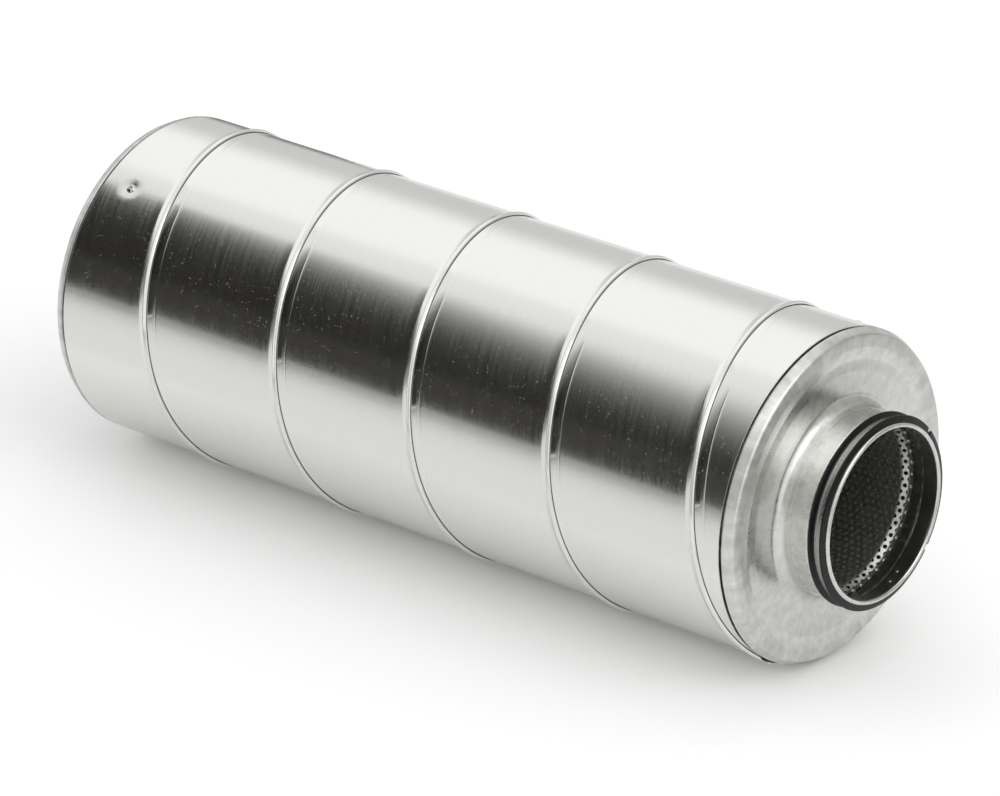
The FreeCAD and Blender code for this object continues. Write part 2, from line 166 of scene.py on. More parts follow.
def grain(tree, size, detail=2.0, span=(0.0, 1.0)):
    """A noise pattern from Object coordinates, with a grain of so many millimetres. What lies within a span
    of its values is drawn out to the whole way from 0 to 1."""
    pattern = {"Vector": add_node(tree, "ShaderNodeTexCoord")["Object"], "Scale": 1 / (size * MM)}
    pattern = add_node(tree, "ShaderNodeTexNoise", {**pattern, "Detail": detail})["Fac"]
    return add_node(tree, "ShaderNodeMapRange", {"Value": pattern, 1: span[0], 2: span[1]})[0]


print("white is", linear("#FFFFFF"))

# %% [markdown]
# The casing is hot-dip galvanised steel strip, rolled smooth. Zinc gives it a cool light grey and a
# fairly sharp mirror, broken by what the mill and the winding machine left. Faint lines run along the
# strip, tiny specks lie in patches and in short rows, and a roller has polished a narrow track just
# ahead of the seam. All of that follows the strip, so the material first works out how far each place
# is from the winding line, which crosses the top of the tube near its middle. A pattern can then be
# drawn out along the strip.

# %% Places on the strip
PITCH = 117.6
SEAM_TOP = 1.9


def from_seam(tree):
    """How many millimetres ahead of the seam's foot a place on the wound strip is, from half a pitch back."""
    place = add_node(tree, "ShaderNodeSeparateXYZ", {0: add_node(tree, "ShaderNodeTexCoord")["Object"]})
    turn = add_node(tree, "ShaderNodeMath", {0: place["Z"], 1: place["Y"]}, operation="ARCTAN2")[0]
    foot = {0: turn, 1: -PITCH / (2 * math.pi), 2: PITCH / 4 - SEAM_TOP}
    foot = add_node(tree, "ShaderNodeMath", foot, operation="MULTIPLY_ADD")[0]
    ahead = {0: place["X"], 1: 1 / MM, 2: foot}
    ahead = add_node(tree, "ShaderNodeMath", ahead, operation="MULTIPLY_ADD")[0]
    return add_node(tree, "ShaderNodeMath", {0: ahead, 1: PITCH / 2, 2: -PITCH / 2}, operation="WRAP")[0]


def along_strip(tree, ahead, wide, long, span):
    """Lines that run along the strip, so many millimetres wide and long, from a span of a noise's values."""
    place = add_node(tree, "ShaderNodeSeparateXYZ", {0: add_node(tree, "ShaderNodeTexCoord")["Object"]})
    step = {"X": add_node(tree, "ShaderNodeMath", {0: ahead, 1: wide}, operation="DIVIDE")[0]}
    for axis in "YZ":
        step[axis] = add_node(tree, "ShaderNodeMath", {0: place[axis], 1: long * MM}, operation="DIVIDE")[0]
    where = add_node(tree, "ShaderNodeCombineXYZ", step)[0]
    pattern = add_node(tree, "ShaderNodeTexNoise", {"Vector": where, "Scale": 1.0, "Detail": 2.0})["Fac"]
    return add_node(tree, "ShaderNodeMapRange", {"Value": pattern, 1: span[0], 2: span[1]})[0]


print("one turn takes", round(math.hypot(PITCH, 2 * math.pi * casing_r)), "mm of strip")

# %% [markdown]
# The lines are finer than a pixel on the real one, and are drawn as coarse as they show. The specks are
# round spots in the middle of a Voronoi pattern's cells, and a noise picks the cells that get one. The
# polished track is a smoother band beside the seam. Where one turn is folded over the next, the fold
# leaves a crevice too deep for light, and the material paints that shade in as a near-black line.

# %% Galvanised strip
CREVICE_AT = 0.07
CREVICE = 0.2
CREVICE_SOFT = 0.4
CREVICE_ROUGH = 0.5
LINE = (0.9, 60)
LINE_SPAN = (0.25, 0.75)
LINE_ROUGH = (0.135, 0.235)
LINE_DEPTH = 0.007
TRACK = (0.3, 4.5)
TRACK_SOFT = 0.2
TRACK_POLISH = 0.55
SCRATCH = (0.8, 14)
SCRATCH_SPAN = (0.63, 0.72)
PATCH = 24
PATCH_SPAN = (0.46, 0.74)
PATCH_SHARE = (0.22, 0.006)
SPECK_GAP = 1.1
SPECK_R = 0.2
SPECK_CORE = 0.6
SPECK_ROUGH = 0.5
SPECK_DEPTH = 0.05


def band(tree, value, middle, half, inside, outside, soft):
    """One value within half of a middle, and another beyond it, with so soft a change between them."""
    off = add_node(tree, "ShaderNodeMath", {0: value, 1: middle}, operation="SUBTRACT")[0]
    off = add_node(tree, "ShaderNodeMath", {0: off}, operation="ABSOLUTE")[0]
    limits = {0: off, 1: half * (1 - soft), 2: half * (1 + soft), 3: inside, 4: outside}
    return add_node(tree, "ShaderNodeMapRange", limits)[0]


def scatter_specks(tree, share):
    """A round speck in the middle of some of a Voronoi pattern's cells: share says how many have one."""
    place = add_node(tree, "ShaderNodeTexCoord")["Object"]
    cells = add_node(tree, "ShaderNodeTexVoronoi", {"Vector": place, "Scale": 1 / (SPECK_GAP * MM)})
    draw = add_node(tree, "ShaderNodeSeparateColor", {0: cells["Color"]})[0]
    picked = add_node(tree, "ShaderNodeMath", {0: draw, 1: share}, operation="LESS_THAN")[0]
    size = SPECK_R / SPECK_GAP
    speck = {0: cells["Distance"], 1: size * SPECK_CORE, 2: size, 3: 1.0, 4: 0.0}
    speck = add_node(tree, "ShaderNodeMapRange", speck)[0]
    return add_node(tree, "ShaderNodeMath", {0: speck, 1: picked}, operation="MULTIPLY")[0]


def make_strip():
    """The casing's finish, of which every pattern is measured from the seam."""
    material, tree, shader = finish_of("rolled_galvanised_steel_strip", 1)
    ahead = from_seam(tree)
    lines = along_strip(tree, ahead, *LINE, LINE_SPAN)
    scratches = along_strip(tree, ahead, *SCRATCH, SCRATCH_SPAN)
    patches = {0: grain(tree, PATCH, 3, PATCH_SPAN), 1: PATCH_SHARE[0], 2: PATCH_SHARE[1]}
    share = add_node(tree, "ShaderNodeMath", patches, operation="MULTIPLY_ADD")[0]
    share = add_node(tree, "ShaderNodeMath", {0: share, 1: scratches}, operation="MAXIMUM")[0]
    specks = scatter_specks(tree, share)
    # Painted shade: a narrow band at the seam's foot gets a near-black colour, and more roughness.
    crevice_shade = band(tree, ahead, CREVICE_AT, CREVICE, 1.0, 0.0, CREVICE_SOFT)
    half = (TRACK[1] - TRACK[0]) / 2
    polish = band(tree, ahead, sum(TRACK) / 2, half, TRACK_POLISH, 1.0, TRACK_SOFT)
    rough = add_node(tree, "ShaderNodeMapRange", {0: lines, 3: LINE_ROUGH[0], 4: LINE_ROUGH[1]})[0]
    rough = add_node(tree, "ShaderNodeMath", {0: rough, 1: polish}, operation="MULTIPLY")[0]
    for mark, much in ((specks, SPECK_ROUGH), (crevice_shade, CREVICE_ROUGH)):
        rough = add_node(tree, "ShaderNodeMath", {0: mark, 1: much, 2: rough}, operation="MULTIPLY_ADD")[0]
    relief = {0: lines, 1: LINE_DEPTH, 2: specks}
    relief = add_node(tree, "ShaderNodeMath", relief, operation="MULTIPLY_ADD")[0]
    # The dark second colour is the painted shade in the seam's crevice.
    dress(tree, shader, crevice_shade, ("#F2F2F0", "#1A1918"), rough, relief, SPECK_DEPTH)
    return material


galvanised_strip = make_strip()
print(galvanised_strip.name, len(galvanised_strip.node_tree.nodes), "nodes")

# %% [markdown]
# The end caps and spigots are pressed from the same steel, but the press rubs the zinc over its tools.
# That leaves it duller, with soft blots, and near the rim with fine streaks that run straight out. The
# streaks follow the angle round the axis, so their pattern reads the direction from the axis, and only
# faintly the distance from it. The bore keeps the mill's polish, the face is duller, the band near the
# rim is the dullest, and the die burnishes the shoulder again. So the roughness changes in steps
# outwards, and each step goes from one radius to another and adds or takes so much.

# %% Pressed galvanised steel
STREAK = 0.8
STREAK_SPAN = (0.2, 0.8)
BROAD_STREAK = 7.2
STREAK_AT = 90
STREAK_RUN = 40
RIM = (93, 102)
AWAY_FROM_RIM = 0.2
BLOT = 6
BLOT_ROUGH = (0.2, 0.26)
ROUGHER = ((60.5, 62.5, 0.06), (94, 100, 0.14), (107, 109, -0.11))
STREAK_DEPTH = 0.0008


def from_axis(tree):
    """The direction from the axis, and the distance from it in metres."""
    place = add_node(tree, "ShaderNodeTexCoord")["Object"]
    flat = add_node(tree, "ShaderNodeVectorMath", {0: place, 1: (0, 1, 1)}, operation="MULTIPLY")[0]
    out = add_node(tree, "ShaderNodeVectorMath", {0: flat}, operation="NORMALIZE")[0]
    return out, add_node(tree, "ShaderNodeVectorMath", {0: flat}, operation="LENGTH")["Value"]


def streaks(tree, wide, span):
    """Streaks that point out from the axis, so many millimetres wide at the middle of the cap's face."""
    out, far = from_axis(tree)
    far = add_node(tree, "ShaderNodeMath", {0: far, 1: 1 / (STREAK_RUN * MM)}, operation="MULTIPLY")[0]
    run = add_node(tree, "ShaderNodeCombineXYZ", {"X": far})[0]
    spread = {0: out, "Scale": STREAK_AT / wide}
    spread = add_node(tree, "ShaderNodeVectorMath", spread, operation="SCALE")[0]
    where = add_node(tree, "ShaderNodeVectorMath", {0: spread, 1: run}, operation="ADD")[0]
    pattern = add_node(tree, "ShaderNodeTexNoise", {"Vector": where, "Scale": 1.0, "Detail": 3.0})["Fac"]
    return add_node(tree, "ShaderNodeMapRange", {"Value": pattern, 1: span[0], 2: span[1]})[0]


def make_pressed():
    """The finish of the caps and spigots, which changes from the bore to the rim."""
    material, tree, shader = finish_of("pressed_galvanised_steel", 1)
    fine = streaks(tree, STREAK, STREAK_SPAN)
    broad = streaks(tree, BROAD_STREAK, MOST_NOISE)
    blots = grain(tree, BLOT, 4, MOST_NOISE)
    _, far = from_axis(tree)
    rim = {0: far, 1: RIM[0] * MM, 2: RIM[1] * MM, 3: AWAY_FROM_RIM, 4: 1.0}
    rim = add_node(tree, "ShaderNodeMapRange", rim)[0]
    both = add_node(tree, "ShaderNodeMath", {0: fine, 1: 0.5, 2: broad}, operation="MULTIPLY_ADD")[0]
    both = add_node(tree, "ShaderNodeMath", {0: both, 1: 0.75}, operation="SUBTRACT")[0]
    both = add_node(tree, "ShaderNodeMath", {0: both, 1: rim, 2: blots}, operation="MULTIPLY_ADD")[0]
    shade = add_node(tree, "ShaderNodeMapRange", {0: both, 1: -0.2, 2: 1.2})[0]
    rough = add_node(tree, "ShaderNodeMapRange", {0: blots, 3: BLOT_ROUGH[0], 4: BLOT_ROUGH[1]})[0]
    for inner, outer, change in ROUGHER:
        step = {0: far, 1: inner * MM, 2: outer * MM, 3: 0.0, 4: change}
        step = add_node(tree, "ShaderNodeMapRange", step)[0]
        rough = add_node(tree, "ShaderNodeMath", {0: rough, 1: step}, operation="ADD")[0]
    relief = add_node(tree, "ShaderNodeMath", {0: fine, 1: rim}, operation="MULTIPLY")[0]
    dress(tree, shader, shade, ("#CDCDCA", "#E9E9E6"), rough, relief, STREAK_DEPTH)
    return material


pressed_steel = make_pressed()
print(pressed_steel.name, len(pressed_steel.node_tree.nodes), "nodes")

# %% [markdown]
# The other finishes are plainer, each with its own grain. The duct is punched from thin galvanised
# sheet, and the shear leaves its edge at the mouth bare and dull; that edge is painted near-black as
# shade. The seals are extruded EPDM rubber, black and satin, which shows as a soft highlight along
# each lip. The strap between the lips is duller, darker steel, and the rivets are zinc-plated steel,
# small and bright. The fleece of glass fibre and the mineral wool are dull. Only the fleece is seen,
# through the holes, where it looks lighter than the dark sheet round them.

# %% Perforated sheet, rubber, strap, rivets and lining
SHEET_GRAIN = 2.5
SHEET_ROUGH = 0.38
CUT_ROUGH = 0.65
CUT = 0.02


def make_even(name, metallic, colours, roughs, size, depth, fixed=()):
    """A finish with the same grain all over, in its colour, its roughness and its relief."""
    material, tree, shader = finish_of(name, metallic, fixed)
    pattern = grain(tree, size, 4, MOST_NOISE)
    rough = add_node(tree, "ShaderNodeMapRange", {0: pattern, 3: roughs[0], 4: roughs[1]})[0]
    dress(tree, shader, pattern, colours, rough, pattern, depth)
    return material


def make_punched():
    """Punched galvanised sheet, whose bare, dull sheared edge at the mouth is painted near-black as shade."""
    material, tree, shader = finish_of("punched_galvanised_sheet", 1)
    place = add_node(tree, "ShaderNodeTexCoord")["Object"]
    along = add_node(tree, "ShaderNodeSeparateXYZ", {0: place})["X"]
    along = add_node(tree, "ShaderNodeMath", {0: along}, operation="ABSOLUTE")[0]
    # Painted shade: the sheared edge at the duct's mouth gets a near-black colour.
    edge = {0: along, 1: (duct_mouth - CUT) * MM}
    edge = add_node(tree, "ShaderNodeMath", edge, operation="GREATER_THAN")[0]
    rough = add_node(tree, "ShaderNodeMapRange", {0: edge, 3: SHEET_ROUGH, 4: CUT_ROUGH})[0]
    dress(tree, shader, edge, ("#D0CFCC", "#2C2B29"), rough, grain(tree, SHEET_GRAIN), 0.0005)
    return material


perforated_sheet = make_punched()
seal_rubber = make_even("extruded_epdm_rubber", 0, ("#060606", "#0C0C0C"), (0.24, 0.34), 0.5, 0.003,
                        {"Specular IOR Level": 0.35})
strap_steel = make_even("rolled_strap_steel", 1, ("#9A9A97", "#B0B0AD"), (0.2, 0.3), 0.8, 0.001)
rivet_steel = make_even("zinc_plated_steel", 1, ("#C4C4C2", "#DCDCDA"), (0.08, 0.14), 0.5, 0.002)
glass_fleece = make_even("bonded_glass_fleece", 0, ("#4E4D49", "#6C6A65"), (0.8, 0.95), 0.8, 0.05)
mineral_wool = make_even("bonded_mineral_wool", 0, ("#A28E52", "#CBBB80"), (0.85, 0.95), 1.2, 0.4)

for node, lining in {"facing_fleece": glass_fleece, "mineral_wool_mat": mineral_wool}.items():
    mesh = frame["nodes"][node].data
    mesh.materials.clear()
    mesh.materials.append(lining)
    print(node, "is dressed as", lining.name)

# %% [markdown]
# Most of the pieces are turned shapes: one outline goes round the axis. An outline is a closed list of
# corners, each with the radius of its bend, so that a sheet's folds come out rounded. A Bevel modifier
# would give all folds one width, so a function cuts each bend into short steps of its own.

# %% Rounded outlines
BEND_STEP = math.radians(12)
NEARLY_STRAIGHT = math.radians(177)
LONGEST_BEND = 0.8


def rounded(corners):
    """The outline through closed corners (x, r, bend), with each bend as an arc of short straight steps. A
    bend takes up no more than most of the side on each hand, and a nearly straight corner stays as it is."""
    outline = []
    for index, (x, r, bend) in enumerate(corners):
        here = Vector((x, r))
        before = Vector(corners[index - 1][:2]) - here
        after = Vector(corners[(index + 1) % len(corners)][:2]) - here
        opening = before.angle(after)
        if bend == 0 or opening > NEARLY_STRAIGHT:
            outline.append(here)
            continue
        room = min(before.length, after.length) * LONGEST_BEND
        run = min(bend / math.tan(opening / 2), room)
        radius = run * math.tan(opening / 2)
        start = here + before.normalized() * run
        middle = (before.normalized() + after.normalized()).normalized()
        centre = here + middle * radius / math.sin(opening / 2)
        spoke = start - centre
        side = -1 if before.x * after.y - before.y * after.x > 0 else 1
        steps = max(2, math.ceil((math.pi - opening) / BEND_STEP))
        for step in range(steps + 1):
            angle = side * (math.pi - opening) * step / steps
            across = spoke.x * math.cos(angle) - spoke.y * math.sin(angle)
            up = spoke.x * math.sin(angle) + spoke.y * math.cos(angle)
            outline.append(centre + Vector((across, up)))
    return outline


print("a right-angled bend takes", math.ceil(math.radians(90) / BEND_STEP), "steps")

# %% [markdown]
# Another function spins an outline into a closed mesh. A BMesh then merges double points and turns the
# faces outwards. It has to be written back and freed each time, so one helper does that for every
# change of a mesh. A finished piece stands for a node of the frame and rides with it, and the node is hidden.

# %% Turned pieces
ROUND_STEPS = 240
SAME_POINT = 0.0005
SHARP = math.radians(40)


def smooth(mesh, material):
    """Gives a mesh its material, and smooth shading between sharp edges."""
    mesh.materials.clear()
    mesh.materials.append(material)
    mesh.shade_smooth()
    mesh.set_sharp_from_angle(angle=SHARP)


def make_piece(name, mesh, material):
    """Links a mesh into the scene as a piece with a name and a material."""
    mesh.name = name
    piece = bpy.data.objects.new(name, mesh)
    bpy.context.scene.collection.objects.link(piece)
    smooth(mesh, material)
    return piece


def edit(mesh, change):
    """Lets a function change a mesh as a BMesh, and writes it back."""
    work = bmesh.new()
    work.from_mesh(mesh)
    change(work)
    work.to_mesh(mesh)
    work.free()


def close_up(work):
    """Merges double points, and turns the faces outwards."""
    bmesh.ops.remove_doubles(work, verts=work.verts, dist=SAME_POINT * MM)
    bmesh.ops.recalc_face_normals(work, faces=work.faces)


def spin(name, outline, steps, place):
    """A closed outline, spun all the way round: place gives a point's spot when it is turned by an angle."""
    count = len(outline)
    points, faces = [], []
    for step in range(steps):
        angle = step / steps * 2 * math.pi
        points += [place(first * MM, second * MM, angle) for first, second in outline]
        here, there = step * count, (step + 1) % steps * count
        for i in range(count):
            after = (i + 1) % count
            faces.append((here + i, here + after, there + after, there + i))
    mesh = bpy.data.meshes.new(name)
    mesh.from_pydata(points, [], faces)
    edit(mesh, close_up)
    return mesh


def lathe(name, corners, material, steps=ROUND_STEPS):
    """A closed outline in millimetres, turned all the way round the X axis."""
    mesh = spin(name, rounded(corners), steps,
                lambda x, r, angle: (x, r * math.sin(angle), r * math.cos(angle)))
    return make_piece(name, mesh, material)


def fit(piece, node):
    """The piece stands for a node of the frame and rides with it, and the node is hidden."""
    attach(piece, "root")
    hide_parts(node)
    triangles = sum(len(face.vertices) - 2 for face in piece.data.polygons)
    print(piece.name, "stands for", node + ",", triangles, "triangles")


def toward(corners, end):
    """An outline that is given for the front end, for either end."""
    return [(x * end, r, bend) for x, r, bend in corners]


print("a step round the casing is", round(2 * math.pi * casing_r / ROUND_STEPS, 1), "mm long")

# %% [markdown]
# An end cap starts as a flat disc. The press turns its edge into a flange that slides into the casing,
# leaves a bevelled shoulder flush with the casing, dishes the face a little, and draws a collar out of
# the middle. Between the casing's cut edge and the shoulder a narrow groove stays open, and it reads as
# a black line. The bevel mirrors other parts of the room than the casing does, so it reads as a light
# band.

# %% End caps
CAP_WALL = 0.7
FLANGE_R = casing_r - 1.8
FLANGE_DEPTH = 32
GROOVE = 1.6
CREST = 9.4
SHOULDER = 2.8
BEVEL = 6.4
BEVEL_DROP = 3.3
RING_R = 96.5
RING_DEPTH = 1.8
DISH_R = 85
DISH_BEND = 20
FLARE = 8.0
COLLAR = 8.6
COLLAR_R = spigot_r + 0.05


def cap_corners():
    """The cap's outline: its outside from the flange to the collar, then back behind the sheet."""
    edge, wall, crest = casing_edge, CAP_WALL, casing_edge + CREST
    flare_r = COLLAR_R + wall
    collar_end = crest + COLLAR
    outside = [
        (edge - FLANGE_DEPTH, FLANGE_R, 0),
        (edge + GROOVE, FLANGE_R, 0.3),
        (edge + GROOVE + 0.8, casing_r, 0.5),
        (crest - BEVEL, casing_r, 1.5),
        (crest, casing_r - BEVEL_DROP, SHOULDER),
        (crest, RING_R + 4, 3),
        (crest - RING_DEPTH, RING_R - 4, 8),
        (crest - RING_DEPTH + 0.5, DISH_R, DISH_BEND),
        (crest - RING_DEPTH + 0.7, flare_r, FLARE),
        (collar_end, flare_r, 0.1),
    ]
    inside = [
        (collar_end, COLLAR_R, 0),
        (crest - RING_DEPTH + 0.7 - wall, COLLAR_R, FLARE + wall),
        (crest - RING_DEPTH + 0.5 - wall, DISH_R, DISH_BEND),
        (crest - RING_DEPTH - wall, RING_R - 4, 8),
        (crest - wall, RING_R + 4, 3),
        (crest - wall, casing_r - BEVEL_DROP - wall * 0.6, SHOULDER - wall),
        (crest - BEVEL, casing_r - wall, 0.8),
        (edge + GROOVE + 1.1, casing_r - wall, 0.3),
        (edge + GROOVE - 0.1, FLANGE_R - wall, 0.5),
        (edge - FLANGE_DEPTH, FLANGE_R - wall, 0),
    ]
    return outside + inside


for end_name, end in ENDS.items():
    cap = lathe(end_name + "_end_cap_dressed", toward(cap_corners(), end), pressed_steel)
    fit(cap, end_name + "_end_cap")

# %% [markdown]
# A spigot is a short tube, held in the collar. Behind its rim the sheet is rolled down into a seat for
# the seal, and the rim itself is rolled inwards into a round bead that catches the light all the way
# round. Two spots of weld stand out on the bore of the front one.

# %% Spigots
SPIGOT_WALL = 0.6
SEAT_DROP = 1.7
BEAD = 1.6
SEAT_LENGTH = 12.2
SEAT_STEP = 2.0
WELDS = ((320.9, 152.3), (321.8, 161.2))
WELD_R = 1.1
WELD_FLAT = 0.4


def spigot_corners():
    """The spigot's outline: its outside over the seat and round the bead, then back along the bore."""
    wall = SPIGOT_WALL
    seat_r = spigot_r - SEAT_DROP
    bead_x, bead_r = spigot_nose - BEAD, seat_r - BEAD
    seat_back = bead_x - SEAT_LENGTH
    sweep = 2 * math.pi - math.acos((BEAD - wall) / BEAD)
    steps = math.ceil(sweep / BEND_STEP)
    bead = []
    for step in range(steps + 1):
        angle = math.pi / 2 - sweep * step / steps
        bead.append((bead_x + BEAD * math.cos(angle), bead_r + BEAD * math.sin(angle), 0))
    outside = [
        (spigot_back, spigot_r - wall, 0),
        (spigot_back, spigot_r, 0),
        (seat_back - SEAT_STEP, spigot_r, 0.8),
        (seat_back, seat_r, 0.8),
    ]
    bore = [
        (seat_back - wall / 3, seat_r - wall, 4),
        (seat_back - SEAT_STEP - wall / 3, spigot_r - wall, 4),
    ]
    return outside + bead + bore


def add_welds(work):
    """Two small domes of weld on the front spigot's bore, each given by its place along X and its angle."""
    for x, angle in WELDS:
        stand = Matrix.Translation((x * MM, 0, 0)) @ Matrix.Rotation(-math.radians(angle), 4, "X")
        stand = stand @ Matrix.Translation((0, 0, (spigot_r - SEAT_DROP - SPIGOT_WALL) * MM))
        bmesh.ops.create_uvsphere(work, u_segments=16, v_segments=8, radius=WELD_R * MM,
                                  matrix=stand @ Matrix.Diagonal((1, 1, WELD_FLAT, 1)))


for end_name, end in ENDS.items():
    spigot = lathe(end_name + "_spigot_dressed", toward(spigot_corners(), end), pressed_steel)
    if end_name == "front":
        edit(spigot.data, add_welds)
        smooth(spigot.data, pressed_steel)
    fit(spigot, end_name + "_spigot")

# %% [markdown]
# The seal is one extruded band of rubber with a lip at each edge, stretched onto the seat. The lips are
# soft, so their tips and roots are well rounded. The rubber is cut to length, and its joint leaves a
# small nick in the lips. A thin steel strap lies in the groove between them, and shows as one grey line
# round the black.

# %% Seals
SEAL_BASE = 1.4
LIP_LEAN = 0.7
LIP_LAND = 0.9
LIP_ROOT = 3.2
SEAL_STEPS = 360
NICKS = (129.8, 49.8)
NICK_WIDE = 1.3
NICK_LEFT = 0.35
STRAP_IN = 0.8
STRAP = 0.35
bore_r = spigot_r - SEAT_DROP + 0.05
band_r = bore_r + SEAL_BASE


def seal_corners():
    """The seal's outline, the same from both sides."""
    back = [
        (seal_back, bore_r, 0.1),
        (seal_back + LIP_LEAN, lip_r, 0.4),
        (seal_back + LIP_LEAN + LIP_LAND, lip_r, 0.4),
        (seal_back + LIP_ROOT, band_r, 1.2),
    ]
    return back + [(seal_back + seal_front - x, r, bend) for x, r, bend in reversed(back)]


def nick_lips(mesh):
    """Draws the lips in to the band at each nick, which leaves a small gap with rounded sides."""
    bottom_r = band_r + NICK_LEFT
    for vert in mesh.vertices:
        angle = math.degrees(math.atan2(vert.co.y, vert.co.z))
        far = math.hypot(vert.co.y, vert.co.z) / MM
        away = min(abs((angle - nick + 180) % 360 - 180) for nick in NICKS)
        if far > bottom_r and away < NICK_WIDE:
            vert.co.yz *= bottom_r / far


for end_name, end in ENDS.items():
    seal = lathe(end_name + "_seal_dressed", toward(seal_corners(), end), seal_rubber, SEAL_STEPS)
    nick_lips(seal.data)
    fit(seal, end_name + "_seal")
    back, front = seal_back + LIP_ROOT + STRAP_IN, seal_front - LIP_ROOT - STRAP_IN / 2
    strap = lathe(end_name + "_seal_strap", toward([
        (back, band_r, 0), (back, band_r + STRAP, 0.1),
        (front, band_r + STRAP, 0.1), (front, band_r, 0)], end), strap_steel)
    fit(strap, end_name + "_seal")

# %% [markdown]
# ## The casing
# The casing is wound from one long strip, and its shape follows a rule: the section across the strip
# goes round and forward at once. So the section is drawn once, flat, as a line of points. Its folds are
# the lockseam: a ramp, a raised ridge of four layers, and a sharp step down to the next turn. A little
# ahead of it the rollers leave a faint bead.

# %% The section across the strip
STRIP_BACK = -14.0
FOLDS_END = 10.0
FLAT_SPANS = 6


def strip_section():
    """Points (distance ahead of the seam's foot, height over the casing), rounded at each fold. Two corners
    far below close the outline for the rounding, and go again."""
    folds = [
        (STRIP_BACK, 0, 0),
        (-7.2, 0, 3),
        (-3.0, seam_height * 0.64, 1.5),
        (-2.3, seam_height, 0.6),
        (-0.4, seam_height * 0.63, 0.4),
        (0.0, 0.0, 0.2),
        (6.9, 0.0, 0.4),
        (7.5, 0.12, 0.5),
        (8.1, 0.0, 0.4),
        (FOLDS_END, 0, 0),
    ]
    below = [(FOLDS_END, -50, 0), (STRIP_BACK, -50, 0)]
    points = [point for point in rounded(folds + below) if point.y > -1]
    step = (STRIP_BACK + PITCH - FOLDS_END) / FLAT_SPANS
    return points + [Vector((FOLDS_END + step * span, 0)) for span in range(1, FLAT_SPANS + 1)]


section_points = strip_section()
section_mesh = bpy.data.meshes.new("strip_section")
section_mesh.from_pydata([(x * MM, height * MM, 0) for x, height in section_points], [], [])
strip_line = bpy.data.objects.new("strip_section", section_mesh)
print(len(section_points), "points across the strip")

# %% [markdown]
# Geometry Nodes make what follows a rule or repeats: the wound strip, the punched sheet and the rivets.
# The three trees share some steps: their named inputs, the row that a point is in, the way round the
# axis, and the ending in real geometry with a material. Each tree is run on an empty piece, its result
# is kept as a plain mesh, and the modifier comes off again.

# %% Helpers for trees
SEAM_GAP = 0.01


def start_tree(name, sizes):
    """A Geometry Nodes tree with a named input for each size: gives the tree, its inputs and its output."""
    tree = bpy.data.node_groups.new(name, "GeometryNodeTree")
    tree.interface.new_socket("Geometry", in_out="OUTPUT", socket_type="NodeSocketGeometry")
    for label, kind in sizes.items():
        tree.interface.new_socket(label, in_out="INPUT", socket_type="NodeSocket" + kind)
    return tree, add_node(tree, "NodeGroupInput"), tree.nodes.new("NodeGroupOutput")


def end_tree(tree, geometry, material, result):
    """Ends a tree: real geometry and a material."""
    real = add_node(tree, "GeometryNodeRealizeInstances", {"Geometry": geometry})[0]
    dressed = add_node(tree, "GeometryNodeSetMaterial", {"Geometry": real, "Material": material})[0]
    tree.links.new(dressed, result.inputs[0])


def row_and_column(tree, count):
    """The row that a point is in, and its place in the row, from its index and how many points a row has."""
    index = add_node(tree, "GeometryNodeInputIndex")[0]
    share = add_node(tree, "ShaderNodeMath", {0: index, 1: count}, operation="DIVIDE")[0]
    row = add_node(tree, "ShaderNodeMath", {0: share}, operation="FLOOR")[0]
    return row, add_node(tree, "ShaderNodeMath", {0: index, 1: count}, operation="MODULO")[0]


def place_round(tree, along, radius, angle, waves):
    """A place on a round: so far along X, and at a radius and an angle. Each wave serves its own axis."""
    place = {"X": along}
    for axis, wave in zip("YZ", waves):
        share = add_node(tree, "ShaderNodeMath", {0: angle}, operation=wave)[0]
        place[axis] = add_node(tree, "ShaderNodeMath", {0: share, 1: radius}, operation="MULTIPLY")[0]
    return add_node(tree, "ShaderNodeCombineXYZ", place)[0]


def run_tree(name, tree, values, helpers):
    """Runs a tree on an empty piece, and keeps the result as its plain mesh."""
    scene_objects = bpy.context.scene.collection.objects
    for helper in helpers:
        scene_objects.link(helper)
    piece = make_piece(name, bpy.data.meshes.new(name), values["Material"])
    modifier = piece.modifiers.new(name, "NODES")
    modifier.node_group = tree
    for item in tree.interface.items_tree:
        if item.in_out == "INPUT":
            modifier[item.identifier] = values[item.name]
    evaluated = piece.evaluated_get(bpy.context.evaluated_depsgraph_get())
    mesh = bpy.data.meshes.new_from_object(evaluated)
    piece.modifiers.remove(modifier)
    piece.data = mesh
    smooth(mesh, values["Material"])
    for helper in helpers:
        scene_objects.unlink(helper)
    return piece


print("sheets are joined where points are closer than", SEAM_GAP, "mm")

# %% [markdown]
# The first tree carries the section along the helix. It starts from a plain grid: a grid point's row
# gives the angle and how far the strip has wandered, and its column picks the point of the section. The
# next turn meets the last one edge to edge, and merging the doubles closes the tube.

# %% Wind the strip
ROWS_PER_TURN = 180


